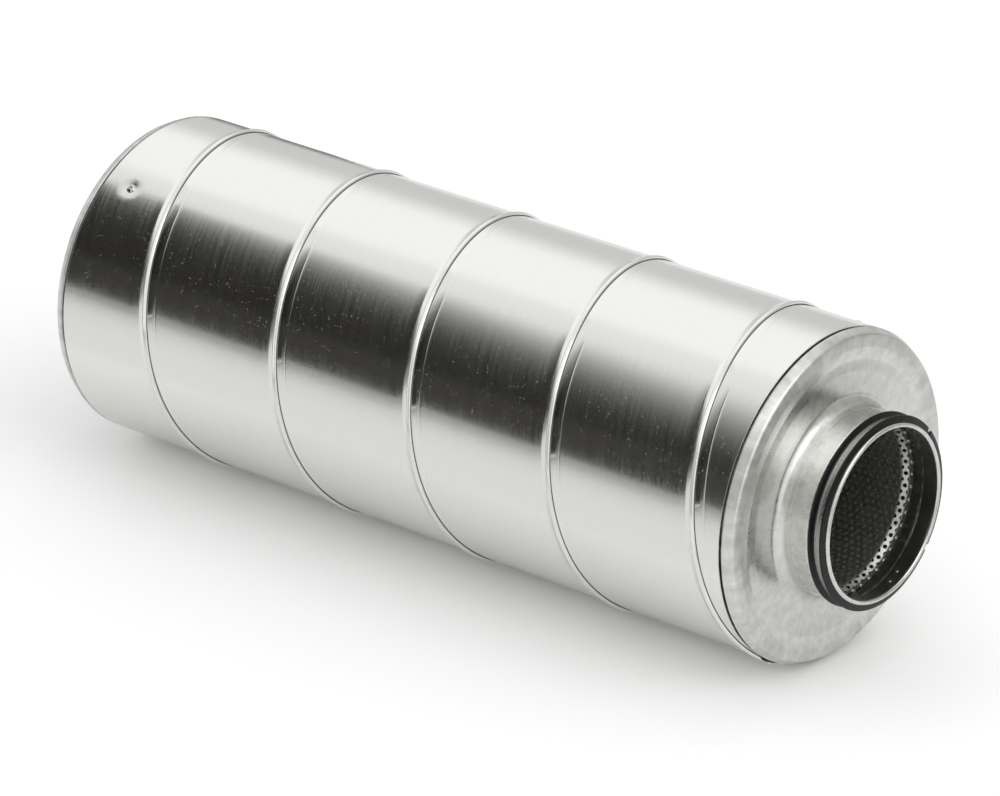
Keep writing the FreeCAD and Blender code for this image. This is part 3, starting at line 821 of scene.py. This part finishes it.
def winding_tree():
    """The tree that lays a flat grid along the helix, and gives each point its height from the section."""
    tree, given, result = start_tree("wound_strip", {
        "Section": "Object", "Columns": "Int", "Rows": "Int", "Turns": "Float", "Radius": "Float",
        "Pitch": "Float", "Start": "Float", "Material": "Material"})
    grid = {"Vertices X": given["Columns"], "Vertices Y": given["Rows"]}
    grid = add_node(tree, "GeometryNodeMeshGrid", grid)["Mesh"]
    column, row = row_and_column(tree, given["Rows"])
    last = add_node(tree, "ShaderNodeMath", {0: given["Rows"], 1: 1.0}, operation="SUBTRACT")[0]
    part = add_node(tree, "ShaderNodeMath", {0: row, 1: last}, operation="DIVIDE")[0]
    turn = add_node(tree, "ShaderNodeMath", {0: part, 1: given["Turns"]}, operation="MULTIPLY")[0]
    section = add_node(tree, "GeometryNodeObjectInfo", {"Object": given["Section"]})["Geometry"]
    point = add_node(tree, "GeometryNodeSampleIndex", {
        "Geometry": section, "Value": add_node(tree, "GeometryNodeInputPosition")[0], "Index": column,
    }, data_type="FLOAT_VECTOR")[0]
    across = add_node(tree, "ShaderNodeSeparateXYZ", {0: point})
    wander = {0: turn, 1: given["Pitch"], 2: given["Start"]}
    wander = add_node(tree, "ShaderNodeMath", wander, operation="MULTIPLY_ADD")[0]
    along = add_node(tree, "ShaderNodeMath", {0: wander, 1: across["X"]}, operation="ADD")[0]
    radius = add_node(tree, "ShaderNodeMath", {0: given["Radius"], 1: across["Y"]}, operation="ADD")[0]
    angle = add_node(tree, "ShaderNodeMath", {0: turn, 1: 2 * math.pi}, operation="MULTIPLY")[0]
    place = place_round(tree, along, radius, angle, ("COSINE", "SINE"))
    wound = add_node(tree, "GeometryNodeSetPosition", {"Geometry": grid, "Position": place})[0]
    closed = {"Geometry": wound, "Distance": SEAM_GAP * MM}
    closed = add_node(tree, "GeometryNodeMergeByDistance", closed)[0]
    end_tree(tree, closed, given["Material"], result)
    return tree


turns_back = math.ceil(casing_edge / PITCH) + 1
casing = run_tree("outer_casing_dressed", winding_tree(), {
    "Section": strip_line, "Columns": len(section_points), "Rows": 2 * turns_back * ROWS_PER_TURN + 1,
    "Turns": 2.0 * turns_back, "Radius": casing_r * MM, "Pitch": PITCH * MM,
    "Start": (SEAM_TOP - PITCH / 4 - turns_back * PITCH) * MM, "Material": galvanised_strip,
}, [strip_line])
print("wound", 2 * turns_back, "turns,", len(casing.data.vertices), "points")

# %% [markdown]
# Near each rivet the sheet is drawn in to the cap's flange. The wound mesh is too coarse there for a
# soft dimple, so planes cut it finer just round the rivets before its points are pressed in. A modifier
# such as Subdivision Surface would cut the whole tube finer for the sake of four small places.

# %% Dimples for the rivets
RIVET_INSET = 22.7
RIVET_ANGLE = {"front": 33, "rear": -36.2}
DIMPLE_LONG = 12
DIMPLE_WIDE = 11
DIMPLE_DEPTH = 1.1
DIMPLE_SIDE = 1.7
FINE = 1.4


def rivet_spots():
    """Each rivet's place along X, and its direction from the axis."""
    for end_name, end in ENDS.items():
        for angle in (RIVET_ANGLE[end_name], RIVET_ANGLE[end_name] + 180):
            out = Vector((0, math.sin(math.radians(angle)), math.cos(math.radians(angle))))
            yield (casing_edge - RIVET_INSET) * end, out


def press_dimple(work, x, out):
    """Cuts the faces round a rivet finer, sets the new points on the round, and presses the dimple."""
    spot = Vector((x * MM, 0, 0)) + out * casing_r * MM
    sideways = Vector((1, 0, 0)).cross(out)
    near = [face for face in work.faces if (face.calc_center_median() - spot).length < 2 * DIMPLE_LONG * MM]
    flat_r = (casing_r + 0.01) * MM
    near = [face for face in near if max(math.hypot(v.co.y, v.co.z) for v in face.verts) < flat_r]
    geometry = list({item for face in near for item in (*face.verts, *face.edges, face)})
    steps = range(-math.ceil(DIMPLE_LONG / FINE), math.ceil(DIMPLE_LONG / FINE) + 1)
    planes = [(spot + Vector((step * FINE * MM, 0, 0)), Vector((1, 0, 0))) for step in steps]
    steps = [step for step in steps if abs(step * FINE) < DIMPLE_WIDE + 0.8]
    planes += [(spot + sideways * step * FINE * MM, sideways) for step in steps]
    for point, normal in planes:
        cut = bmesh.ops.bisect_plane(work, geom=geometry, dist=0.01 * MM, plane_co=point, plane_no=normal)
        geometry = cut["geom"]
    for vert in {item for item in geometry if isinstance(item, bmesh.types.BMVert)}:
        round_way = Vector((0, vert.co.y, vert.co.z)).normalized()
        away = ((vert.co.x / MM - x) / DIMPLE_LONG) ** 2 + (vert.co.dot(sideways) / MM / DIMPLE_WIDE) ** 2
        depth = DIMPLE_DEPTH * (1 - math.sqrt(away)) ** DIMPLE_SIDE if away < 1 else 0
        vert.co = Vector((vert.co.x, 0, 0)) + round_way * (casing_r - depth) * MM


print(len(list(rivet_spots())), "dimples,", round(casing_edge - RIVET_INSET, 1), "mm from the middle")

# %% [markdown]
# The machine cuts the tube square, right through the seam, so both ends are trimmed by a plane. The
# wound sheet is still open, so its faces are turned away from the axis before a last modifier gives it
# its thickness, inwards.

# %% Trim and thicken the casing
CASING_WALL = 0.6
TRIM_GAP = 0.0001


def turn_outwards(work):
    """Makes an open sheet's faces agree, and turns them away from the axis."""
    bmesh.ops.recalc_face_normals(work, faces=work.faces)
    if sum(face.normal.dot(face.calc_center_median() * Vector((0, 1, 1))) for face in work.faces) < 0:
        bmesh.ops.reverse_faces(work, faces=work.faces)


def trim_and_dimple(work):
    """Cuts the wound strip square at both ends, and presses a dimple for each rivet."""
    for end in ENDS.values():
        everything = work.verts[:] + work.edges[:] + work.faces[:]
        bmesh.ops.bisect_plane(work, geom=everything, dist=TRIM_GAP * MM, plane_no=(end, 0, 0),
                               plane_co=(casing_edge * MM * end, 0, 0), clear_outer=True)
    for x, out in rivet_spots():
        press_dimple(work, x, out)
    turn_outwards(work)


def thicken(piece, wall):
    """Gives an open sheet its thickness on the inside, as a plain mesh."""
    sheet = piece.modifiers.new("wall", "SOLIDIFY")
    sheet.thickness = wall * MM
    sheet.offset = -1
    mesh = bpy.data.meshes.new_from_object(piece.evaluated_get(bpy.context.evaluated_depsgraph_get()))
    piece.modifiers.remove(sheet)
    piece.data = mesh
    smooth(mesh, mesh.materials[0])


edit(casing.data, trim_and_dimple)
thicken(casing, CASING_WALL)
fit(casing, "outer_casing")

# %% [markdown]
# ## The perforated duct
# Punched sheet repeats one small pattern: round holes of 3 mm, 5 mm apart in triangles. A small
# rectangle with a quarter of a hole in two opposite corners is enough, because its mirror images tile
# the sheet. The sheet is cut through its last row of holes, which leaves a notched edge, so that row
# has a tile of its own.

# %% Two tiles of the sheet
HOLE_R = 1.5
HOLES_ROUND = 44
QUARTER_STEPS = 3
CONE = 4.4
SWELL = 2.5
MOUTH = 3.2
STRAIGHT_ROWS = 238
FINE_ROWS = 40
DUCT_WALL = 0.7
duct_r = mouth_r - SWELL
cone_edge = duct_mouth - MOUTH
row_length = (cone_edge - CONE) * 2 / STRAIGHT_ROWS
tile_width = math.pi * duct_r / HOLES_ROUND


def hole_corner(centre_x, centre_y, way_x, way_y):
    """A quarter of a hole's edge, from the side towards x to the side towards y."""
    steps = [math.pi / 2 * step / QUARTER_STEPS for step in range(QUARTER_STEPS + 1)]
    return [(centre_x + way_x * HOLE_R * math.cos(angle), centre_y + way_y * HOLE_R * math.sin(angle))
            for angle in steps]


def make_tile(name, points, faces):
    """A flat tile from points in millimetres, as a helper that stays out of the scene."""
    mesh = bpy.data.meshes.new(name)
    mesh.from_pydata([(x * MM, y * MM, 0) for x, y in points], [], faces)
    return bpy.data.objects.new(name, mesh)


near_arc = hole_corner(0, 0, 1, 1)
far_arc = hole_corner(tile_width, row_length, -1, -1)[::-1]
tile = make_tile("sheet_tile", near_arc + far_arc + [(tile_width, 0), (0, row_length)],
                 [(0, 4, 5, 1), (1, 5, 6, 2), (2, 6, 7, 3), (0, 8, 4), (3, 7, 9)])
notch_arc = hole_corner(tile_width, -row_length, -1, 1)[::-1]
notch_half = math.sqrt(HOLE_R ** 2 - (MOUTH - row_length) ** 2)
edge_tile = make_tile("edge_tile", hole_corner(0, 0, 1, -1) + notch_arc + [
    (tile_width, 0), (0, -MOUTH), (tile_width - notch_half, -MOUTH)],
    [(0, 4, 8), (0, 1, 5, 4), (1, 2, 6, 5), (2, 3, 7, 6), (3, 9, 10, 7)])
print("a tile is", round(tile_width, 2), "by", round(row_length, 2), "mm")

# %% [markdown]
# The second tree first sets the tiles out flat. A point stands for each tile. Each second tile is
# mirrored in its row, and each second row as well, so that the quarters of a hole meet. The edge tiles
# go along the first row only.

# %% Lay the punched sheet out


def lay_tiles(tree, given):
    """The flat sheet: a tile at each place, mirrored by turns, and the edge tiles along the first row."""
    count = {0: given["Columns"], 1: given["Rows"]}
    count = add_node(tree, "ShaderNodeMath", count, operation="MULTIPLY")[0]
    points = add_node(tree, "GeometryNodePoints", {"Count": count})[0]
    row, column = row_and_column(tree, given["Columns"])
    corner, flip = {}, {}
    for axis, number, size in (("X", column, "Tile width"), ("Y", row, "Row length")):
        odd = add_node(tree, "ShaderNodeMath", {0: number, 1: 2.0}, operation="MODULO")[0]
        start = add_node(tree, "ShaderNodeMath", {0: number, 1: odd}, operation="ADD")[0]
        corner[axis] = add_node(tree, "ShaderNodeMath", {0: start, 1: given[size]}, operation="MULTIPLY")[0]
        turned = {0: odd, 1: -2.0, 2: 1.0}
        flip[axis] = add_node(tree, "ShaderNodeMath", turned, operation="MULTIPLY_ADD")[0]
    corners = add_node(tree, "ShaderNodeCombineXYZ", corner)[0]
    points = add_node(tree, "GeometryNodeSetPosition", {"Geometry": points, "Position": corners})[0]
    first_row = add_node(tree, "ShaderNodeMath", {0: row, 1: 0.5}, operation="LESS_THAN")[0]
    joined = tree.nodes.new("GeometryNodeJoinGeometry")
    for label, picked in (("Tile", True), ("Edge tile", first_row)):
        shape = add_node(tree, "GeometryNodeObjectInfo", {"Object": given[label]})["Geometry"]
        size = add_node(tree, "ShaderNodeCombineXYZ", {**flip, "Z": 1.0})[0]
        tiles = {"Points": points, "Selection": picked, "Instance": shape, "Scale": size}
        tree.links.new(add_node(tree, "GeometryNodeInstanceOnPoints", tiles)[0], joined.inputs[0])
    return add_node(tree, "GeometryNodeRealizeInstances", {"Geometry": joined.outputs[0]})[0]


print("one end of the duct has", 2 * HOLES_ROUND * FINE_ROWS, "tiles")

# %% [markdown]
# Then the flat sheet is rolled up. The distance from the cone's edge gives the place along the duct and
# the radius, so that the same tree makes the mouth, the cone and the duct behind it. Only the rows near
# the ends can be seen, so the rest is a plain tube, dotted by its material.

# %% Roll the punched sheet up


def roll_up(tree, given, flat):
    """Rolls the flat sheet into the mouth, the cone and the duct, by how far each point is from the cone."""
    spot = add_node(tree, "ShaderNodeSeparateXYZ", {0: add_node(tree, "GeometryNodeInputPosition")[0]})
    sheet = add_node(tree, "ShaderNodeMath", {0: given["Row length"], 1: 2.0}, operation="MULTIPLY")[0]
    bent = add_node(tree, "ShaderNodeClamp", {"Value": spot["Y"], "Min": 0.0, "Max": sheet})[0]
    part = add_node(tree, "ShaderNodeMath", {0: bent, 1: sheet}, operation="DIVIDE")[0]
    level = add_node(tree, "ShaderNodeMath", {0: spot["Y"], 1: bent}, operation="SUBTRACT")[0]
    sunk = {0: part, 1: given["Cone"], 2: level}
    sunk = add_node(tree, "ShaderNodeMath", sunk, operation="MULTIPLY_ADD")[0]
    along = add_node(tree, "ShaderNodeMath", {0: given["Cone edge"], 1: sunk}, operation="SUBTRACT")[0]
    along = add_node(tree, "ShaderNodeMath", {0: along, 1: given["End"]}, operation="MULTIPLY")[0]
    fall = add_node(tree, "ShaderNodeMath", {0: part, 1: given["Swell"]}, operation="MULTIPLY")[0]
    radius = add_node(tree, "ShaderNodeMath", {0: given["Radius"], 1: fall}, operation="SUBTRACT")[0]
    whole = {0: given["Columns"], 1: given["Tile width"]}
    whole = add_node(tree, "ShaderNodeMath", whole, operation="MULTIPLY")[0]
    step = add_node(tree, "ShaderNodeMath", {0: spot["X"], 1: given["Tile width"]}, operation="SUBTRACT")[0]
    turn = add_node(tree, "ShaderNodeMath", {0: step, 1: whole}, operation="DIVIDE")[0]
    angle = add_node(tree, "ShaderNodeMath", {0: turn, 1: 2 * math.pi}, operation="MULTIPLY")[0]
    place = place_round(tree, along, radius, angle, ("SINE", "COSINE"))
    return add_node(tree, "GeometryNodeSetPosition", {"Geometry": flat, "Position": place})[0]


def rolling_tree():
    """The tree that makes one end of the duct from its tiles."""
    tree, given, result = start_tree("rolled_sheet", {
        "Tile": "Object", "Edge tile": "Object", "Columns": "Int", "Rows": "Int", "Tile width": "Float",
        "Row length": "Float", "Cone edge": "Float", "Cone": "Float", "Swell": "Float", "Radius": "Float",
        "End": "Float", "Material": "Material"})
    rolled = roll_up(tree, given, lay_tiles(tree, given))
    closed = {"Geometry": rolled, "Distance": SEAM_GAP * MM}
    closed = add_node(tree, "GeometryNodeMergeByDistance", closed)[0]
    end_tree(tree, closed, given["Material"], result)
    return tree


duct_tree = rolling_tree()
for end_name, end in ENDS.items():
    duct = run_tree("perforated_duct_" + end_name, duct_tree, {
        "Tile": tile, "Edge tile": edge_tile, "Columns": 2 * HOLES_ROUND, "Rows": FINE_ROWS,
        "Tile width": tile_width * MM, "Row length": row_length * MM, "Cone edge": cone_edge * MM,
        "Cone": CONE * MM, "Swell": SWELL * MM, "Radius": mouth_r * MM, "End": float(end),
        "Material": perforated_sheet,
    }, [tile, edge_tile])
    edit(duct.data, turn_outwards)
    thicken(duct, DUCT_WALL)
    fit(duct, "perforated_duct")

# %% [markdown]
# Deep inside the duct the holes are only dots to the eye, so the middle of the tube has them in its
# material. The pattern turns the place on the tube into steps round it and along it, and measures how
# far each point is from the nearest hole of both staggered sets.

# %% The dotted middle of the duct
HOLE_ROUGH = 0.9


def make_dotted():
    """Punched sheet whose holes are only drawn: dull and dark in a hole, metal between them."""
    material, tree, shader = finish_of("punched_galvanised_sheet_far", 1)
    place = add_node(tree, "ShaderNodeTexCoord")["Object"]
    spot = add_node(tree, "ShaderNodeSeparateXYZ", {0: place})
    turn = add_node(tree, "ShaderNodeMath", {0: spot["Y"], 1: spot["Z"]}, operation="ARCTAN2")[0]
    around = {0: turn, 1: HOLES_ROUND / (2 * math.pi)}
    around = add_node(tree, "ShaderNodeMath", around, operation="MULTIPLY")[0]
    along = {0: spot["X"], 1: 1 / (2 * row_length * MM), 2: 0.5}
    along = add_node(tree, "ShaderNodeMath", along, operation="MULTIPLY_ADD")[0]
    nearest = []
    for shift in (0.0, 0.5):
        away = {}
        for axis, number, size in (("X", around, 2 * tile_width), ("Y", along, 2 * row_length)):
            moved = add_node(tree, "ShaderNodeMath", {0: number, 1: shift}, operation="ADD")[0]
            folded = add_node(tree, "ShaderNodeMath", {0: moved, 1: 0.5}, operation="PINGPONG")[0]
            away[axis] = add_node(tree, "ShaderNodeMath", {0: folded, 1: size}, operation="MULTIPLY")[0]
        gap = add_node(tree, "ShaderNodeCombineXYZ", away)[0]
        nearest.append(add_node(tree, "ShaderNodeVectorMath", {0: gap}, operation="LENGTH")["Value"])
    gap = add_node(tree, "ShaderNodeMath", {0: nearest[0], 1: nearest[1]}, operation="MINIMUM")[0]
    sheet = add_node(tree, "ShaderNodeMath", {0: gap, 1: HOLE_R}, operation="GREATER_THAN")[0]
    tree.links.new(sheet, shader.inputs["Metallic"])
    rough = add_node(tree, "ShaderNodeMapRange", {0: sheet, 3: HOLE_ROUGH, 4: SHEET_ROUGH})[0]
    pattern = grain(tree, SHEET_GRAIN, 3, MOST_NOISE)
    dress(tree, shader, sheet, ("#4B4A46", "#BDBCB9"), rough, pattern, 0.001)
    return material


middle_end = cone_edge - CONE - (FINE_ROWS - 2) * row_length
middle = lathe("perforated_duct_middle", [
    (-middle_end, duct_r, 0), (middle_end, duct_r, 0),
    (middle_end, duct_r - DUCT_WALL, 0), (-middle_end, duct_r - DUCT_WALL, 0)], make_dotted())
fit(middle, "perforated_duct")

# %% [markdown]
# ## Rivets
# Two blind rivets hold each cap. A blind rivet is set from outside: a steel pin pulls its tail up
# inside and breaks off, which leaves a low domed head with a small dark hole. The head is wider than
# the dimple's floor, so it sits a little above it. One rivet is turned once, and a tree stands a copy
# at each place.

# %% Rivets
HEAD_R = 3.25
HEAD = 1.35
BRIM = 0.3
SHANK_R = 1.6
CORE_R = 0.9
TAIL_R = 2.6
TAIL = 2.2
SEAT_SHARE = 0.58
SEAT_R = casing_r - SEAT_SHARE * DIMPLE_DEPTH
RIVET_STEPS = 32
PIN = 1.2
PIN_AT = -0.4


def rivet_outline():
    """The rivet from the rim of its core over the head, down the shank, round the tail and up the core."""
    tail_top = -CASING_WALL - CAP_WALL - 0.5
    return [
        (CORE_R, HEAD - 0.1, 0.1), (CORE_R + 0.5, HEAD, 0.3), (HEAD_R - 0.9, HEAD - 0.25, 1.2),
        (HEAD_R, BRIM, 0.2), (HEAD_R, 0, 0), (SHANK_R, 0, 0), (SHANK_R, tail_top, 0),
        (TAIL_R, tail_top - 0.3, 0.4), (TAIL_R, tail_top - TAIL + 0.5, 0.8),
        (CORE_R + 0.2, tail_top - TAIL, 0), (CORE_R, -1.0, 0)]


def add_pin(work):
    """The broken pin, deep in the rivet's core."""
    bmesh.ops.create_cone(work, cap_ends=True, segments=16, radius1=CORE_R * MM, radius2=CORE_R * MM,
                          depth=PIN * MM, matrix=Matrix.Translation((0, 0, PIN_AT * MM)))


def make_rivet():
    """One rivet, standing on the origin with its head up."""
    mesh = spin("rivet", rounded(rivet_outline()), RIVET_STEPS,
                lambda r, z, angle: (r * math.cos(angle), r * math.sin(angle), z))
    edit(mesh, add_pin)
    print("a rivet has", len(mesh.polygons), "faces")
    return bpy.data.objects.new("rivet", mesh)


def rivet_tree():
    """The tree that stands rivets round the casing, evenly spread from a first angle."""
    tree, given, result = start_tree("rivets_round_the_casing", {
        "Rivet": "Object", "Count": "Int", "Place": "Float", "Seat": "Float", "First angle": "Float",
        "Material": "Material"})
    points = add_node(tree, "GeometryNodePoints", {"Count": given["Count"]})[0]
    index = add_node(tree, "GeometryNodeInputIndex")[0]
    share = add_node(tree, "ShaderNodeMath", {0: 2 * math.pi, 1: given["Count"]}, operation="DIVIDE")[0]
    angle = {0: index, 1: share, 2: given["First angle"]}
    angle = add_node(tree, "ShaderNodeMath", angle, operation="MULTIPLY_ADD")[0]
    back = add_node(tree, "ShaderNodeMath", {0: angle, 1: -1.0}, operation="MULTIPLY")[0]
    place = place_round(tree, given["Place"], given["Seat"], angle, ("SINE", "COSINE"))
    points = add_node(tree, "GeometryNodeSetPosition", {"Geometry": points, "Position": place})[0]
    shape = add_node(tree, "GeometryNodeObjectInfo", {"Object": given["Rivet"]})["Geometry"]
    lean = add_node(tree, "ShaderNodeCombineXYZ", {"X": back})[0]
    stood = {"Points": points, "Instance": shape, "Rotation": lean}
    stood = add_node(tree, "GeometryNodeInstanceOnPoints", stood)[0]
    end_tree(tree, stood, given["Material"], result)
    return tree


rivet = make_rivet()
rivets_tree = rivet_tree()
for end_name, end in ENDS.items():
    rivets = run_tree(end_name + "_cap_rivets_dressed", rivets_tree, {
        "Rivet": rivet, "Count": 2, "Place": (casing_edge - RIVET_INSET) * end * MM, "Seat": SEAT_R * MM,
        "First angle": math.radians(RIVET_ANGLE[end_name]), "Material": rivet_steel}, [rivet])
    fit(rivets, end_name + "_cap_rivets")

# %% [markdown]
# ## The studio
# The object lies on a pale floor in an even white room, at the level where a colour shows about as it
# is written. A ray that comes straight from the camera or off the metal finds them a little paler than
# they light the object, so the floor and the room look white, and the floor keeps the object's shadow.

# %% Floor and room
FLOOR = 30.0
LIT = 0.85
FLOOR_SEEN = 0.97
FLOOR_SHOWN = 0.2
floor_z = cad_box[0][2]


def seen_directly(tree):
    """One where the camera, a mirror or a glass looks at a surface, and zero where it only gives light."""
    ray = add_node(tree, "ShaderNodeLightPath")
    seen = {0: ray["Is Camera Ray"], 1: ray["Is Glossy Ray"]}
    seen = add_node(tree, "ShaderNodeMath", seen, operation="MAXIMUM")[0]
    seen = {0: seen, 1: ray["Is Transmission Ray"]}
    return add_node(tree, "ShaderNodeMath", seen, operation="MAXIMUM")[0]


def make_board(name, corners):
    """A flat stage board between corners in metres, with an empty material, and that material's nodes."""
    mesh = bpy.data.meshes.new(name)
    mesh.from_pydata(corners, [], [tuple(range(len(corners)))])
    material = bpy.data.materials.new(name)
    material.use_nodes = True
    material.node_tree.nodes.clear()
    mesh.materials.append(material)
    board = bpy.data.objects.new(name, mesh)
    bpy.context.scene.collection.objects.link(board)
    return board, material.node_tree


around = ((-FLOOR, -FLOOR), (FLOOR, -FLOOR), (FLOOR, FLOOR), (-FLOOR, FLOOR))
_, paint = make_board("floor", [(x, y, floor_z) for x, y in around])
lift = add_node(paint, "ShaderNodeMapRange", {0: seen_directly(paint), 3: LIT, 4: FLOOR_SEEN})[0]
shown = {0: add_node(paint, "ShaderNodeLightPath")["Is Camera Ray"], 1: FLOOR_SHOWN, 2: lift}
lift = add_node(paint, "ShaderNodeMath", shown, operation="MULTIPLY_ADD")[0]
pale = add_node(paint, "ShaderNodeBsdfDiffuse", {"Color": add_node(paint, "ShaderNodeCombineColor", {
    "Red": lift, "Green": lift, "Blue": lift})[0]})[0]
add_node(paint, "ShaderNodeOutputMaterial", {"Surface": pale})

world = bpy.data.worlds.new("white_room")
bpy.context.scene.world = world
world.use_nodes = True
room = world.node_tree
room.nodes.clear()
level = add_node(room, "ShaderNodeMapRange", {0: seen_directly(room), 3: LIT, 4: 1.0})[0]
white = add_node(room, "ShaderNodeBackground", {"Color": linear("#FFFFFF"), "Strength": level})[0]
add_node(room, "ShaderNodeOutputWorld", {"Surface": white})
print("the floor lies at", round(floor_z, 4), "m")

# %% [markdown]
# Bare metal shows whatever stands round it. A studio hangs large boards out of the camera's sight for
# that. The tall black board on the left fades to white upwards, and draws the dark band along the
# casing with its soft upper edge. The grey boards keep the tube from going flat white, and the cards on
# the floor shade its underside and its far outline. Only reflections see these boards. They light
# nothing, cast no shadow, and are not part of the object. A soft box ahead adds a little light from one
# side. All measures of the studio are in metres.

# %% Boards for the reflections
SIDE = 2.0
OVER = 3.0


def hang(name, corners, colour, fade=None):
    """A board that only reflections see. It may fade along a way, from one place to another, to a colour."""
    board, tree = make_board(name, corners)
    paint = linear(colour)
    if fade:
        way, start, end, other = fade
        place = add_node(tree, "ShaderNodeTexCoord")["Object"]
        along = add_node(tree, "ShaderNodeVectorMath", {0: place, 1: way}, operation="DOT_PRODUCT")["Value"]
        share = {0: along, 1: start, 2: end}
        share = add_node(tree, "ShaderNodeMapRange", share, interpolation_type="SMOOTHSTEP")[0]
        paint = add_node(tree, "ShaderNodeMix", {0: share, 6: paint, 7: linear(other)}, data_type="RGBA")[2]
    shown = add_node(tree, "ShaderNodeEmission", {"Color": paint})[0]
    add_node(tree, "ShaderNodeOutputMaterial", {"Surface": shown})
    board.visible_camera = board.visible_diffuse = board.visible_shadow = board.visible_transmission = False


def upright(side, x0, x1, z0, z1):
    """Corners of a board that stands along the object, so far to its side."""
    return [(x0, side, z0), (x1, side, z0), (x1, side, z1), (x0, side, z1)]


def lying(x0, x1, y0, y1, z):
    """Corners of a level board or card."""
    return [(x0, y0, z), (x1, y0, z), (x1, y1, z), (x0, y1, z)]


ON_FLOOR = floor_z + 0.002
hang("black_board_left", upright(-SIDE, -7, -0.3, -0.07, 12), "#252422",
     ((1, 0, 1), -0.1, 2.3, "#E4E4E2"))
hang("dark_board_low_left", upright(-SIDE + 0.02, -2.3, -0.3, -0.07, 0.8), "#353432")
hang("grey_board_far_left", upright(-SIDE, -14, -7, -0.07, 12), "#5E5E5B")
hang("grey_board_near_camera", upright(-SIDE, 0.2, 2.3, -0.05, 1.8), "#BEBEBB")
hang("grey_board_right", upright(SIDE, -9, 0.3, -0.1, 2.2), "#CECECC",
     ((0, 0, 1), 0.7, 2.1, "#FFFFFF"))
hang("grey_board_ahead", upright(SIDE, 0.3, 6, -0.1, 3.5), "#B2B2AE")
hang("pale_board_over", lying(-7, 1, -0.72, 0.3, OVER), "#ECECEB",
     ((0, 1, 0), 0.0, 0.3, "#FFFFFF"))
hang("grey_card_left", lying(-1.2, 0.3, -SIDE, -0.2, ON_FLOOR), "#8A8A88",
     ((0, 1, 0), -1.8, -0.2, "#E4E4E2"))
hang("dark_card_far_left", lying(-16, -1.2, -SIDE, -0.25, ON_FLOOR), "#80807C")
hang("dark_card_behind", [(x, y, ON_FLOOR) for x, y in (
    (-3, 0.12), (-0.35, 0.12), (-0.55, 0.47), (-1.1, 1.26), (-1.6, 2.0), (-3, 2.0))], "#7A7A77")
hang("grey_card_front", lying(0.66, 1.8, -0.2, 0.9, ON_FLOOR), "#686866")

lamp_data = bpy.data.lights.new("soft_box", "AREA")
lamp_data.size = 1.8
lamp_data.energy = 9
lamp = bpy.data.objects.new("soft_box", lamp_data)
bpy.context.scene.collection.objects.link(lamp)
lamp.location = (2.0, -0.3, 1.9)
lamp.rotation_euler = (-lamp.location).to_track_quat("-Z", "Y").to_euler()
print("boards and one soft box of", lamp_data.size, "m")

# %% [markdown]
# The photograph was taken from ahead of the front end, to its left and above it, with a long lens, so
# the two ends of the casing are drawn almost equally large.

# %% Camera
CAMERA_AT = (2.3699, -2.7971, 1.6074)
CAMERA_WAY = (-0.5896, 0.6991, -0.4043)
LENS = 216

camera_data = bpy.data.cameras.new("camera")
camera_data.lens = LENS
camera_data.sensor_width = 36
camera = bpy.data.objects.new("camera", camera_data)
bpy.context.scene.collection.objects.link(camera)
camera.location = CAMERA_AT
camera.rotation_euler = Vector(CAMERA_WAY).to_track_quat("-Z", "Y").to_euler()
bpy.context.scene.camera = camera
bpy.context.scene.view_settings.view_transform = "Standard"
print("camera", CAMERA_AT, "lens", LENS)
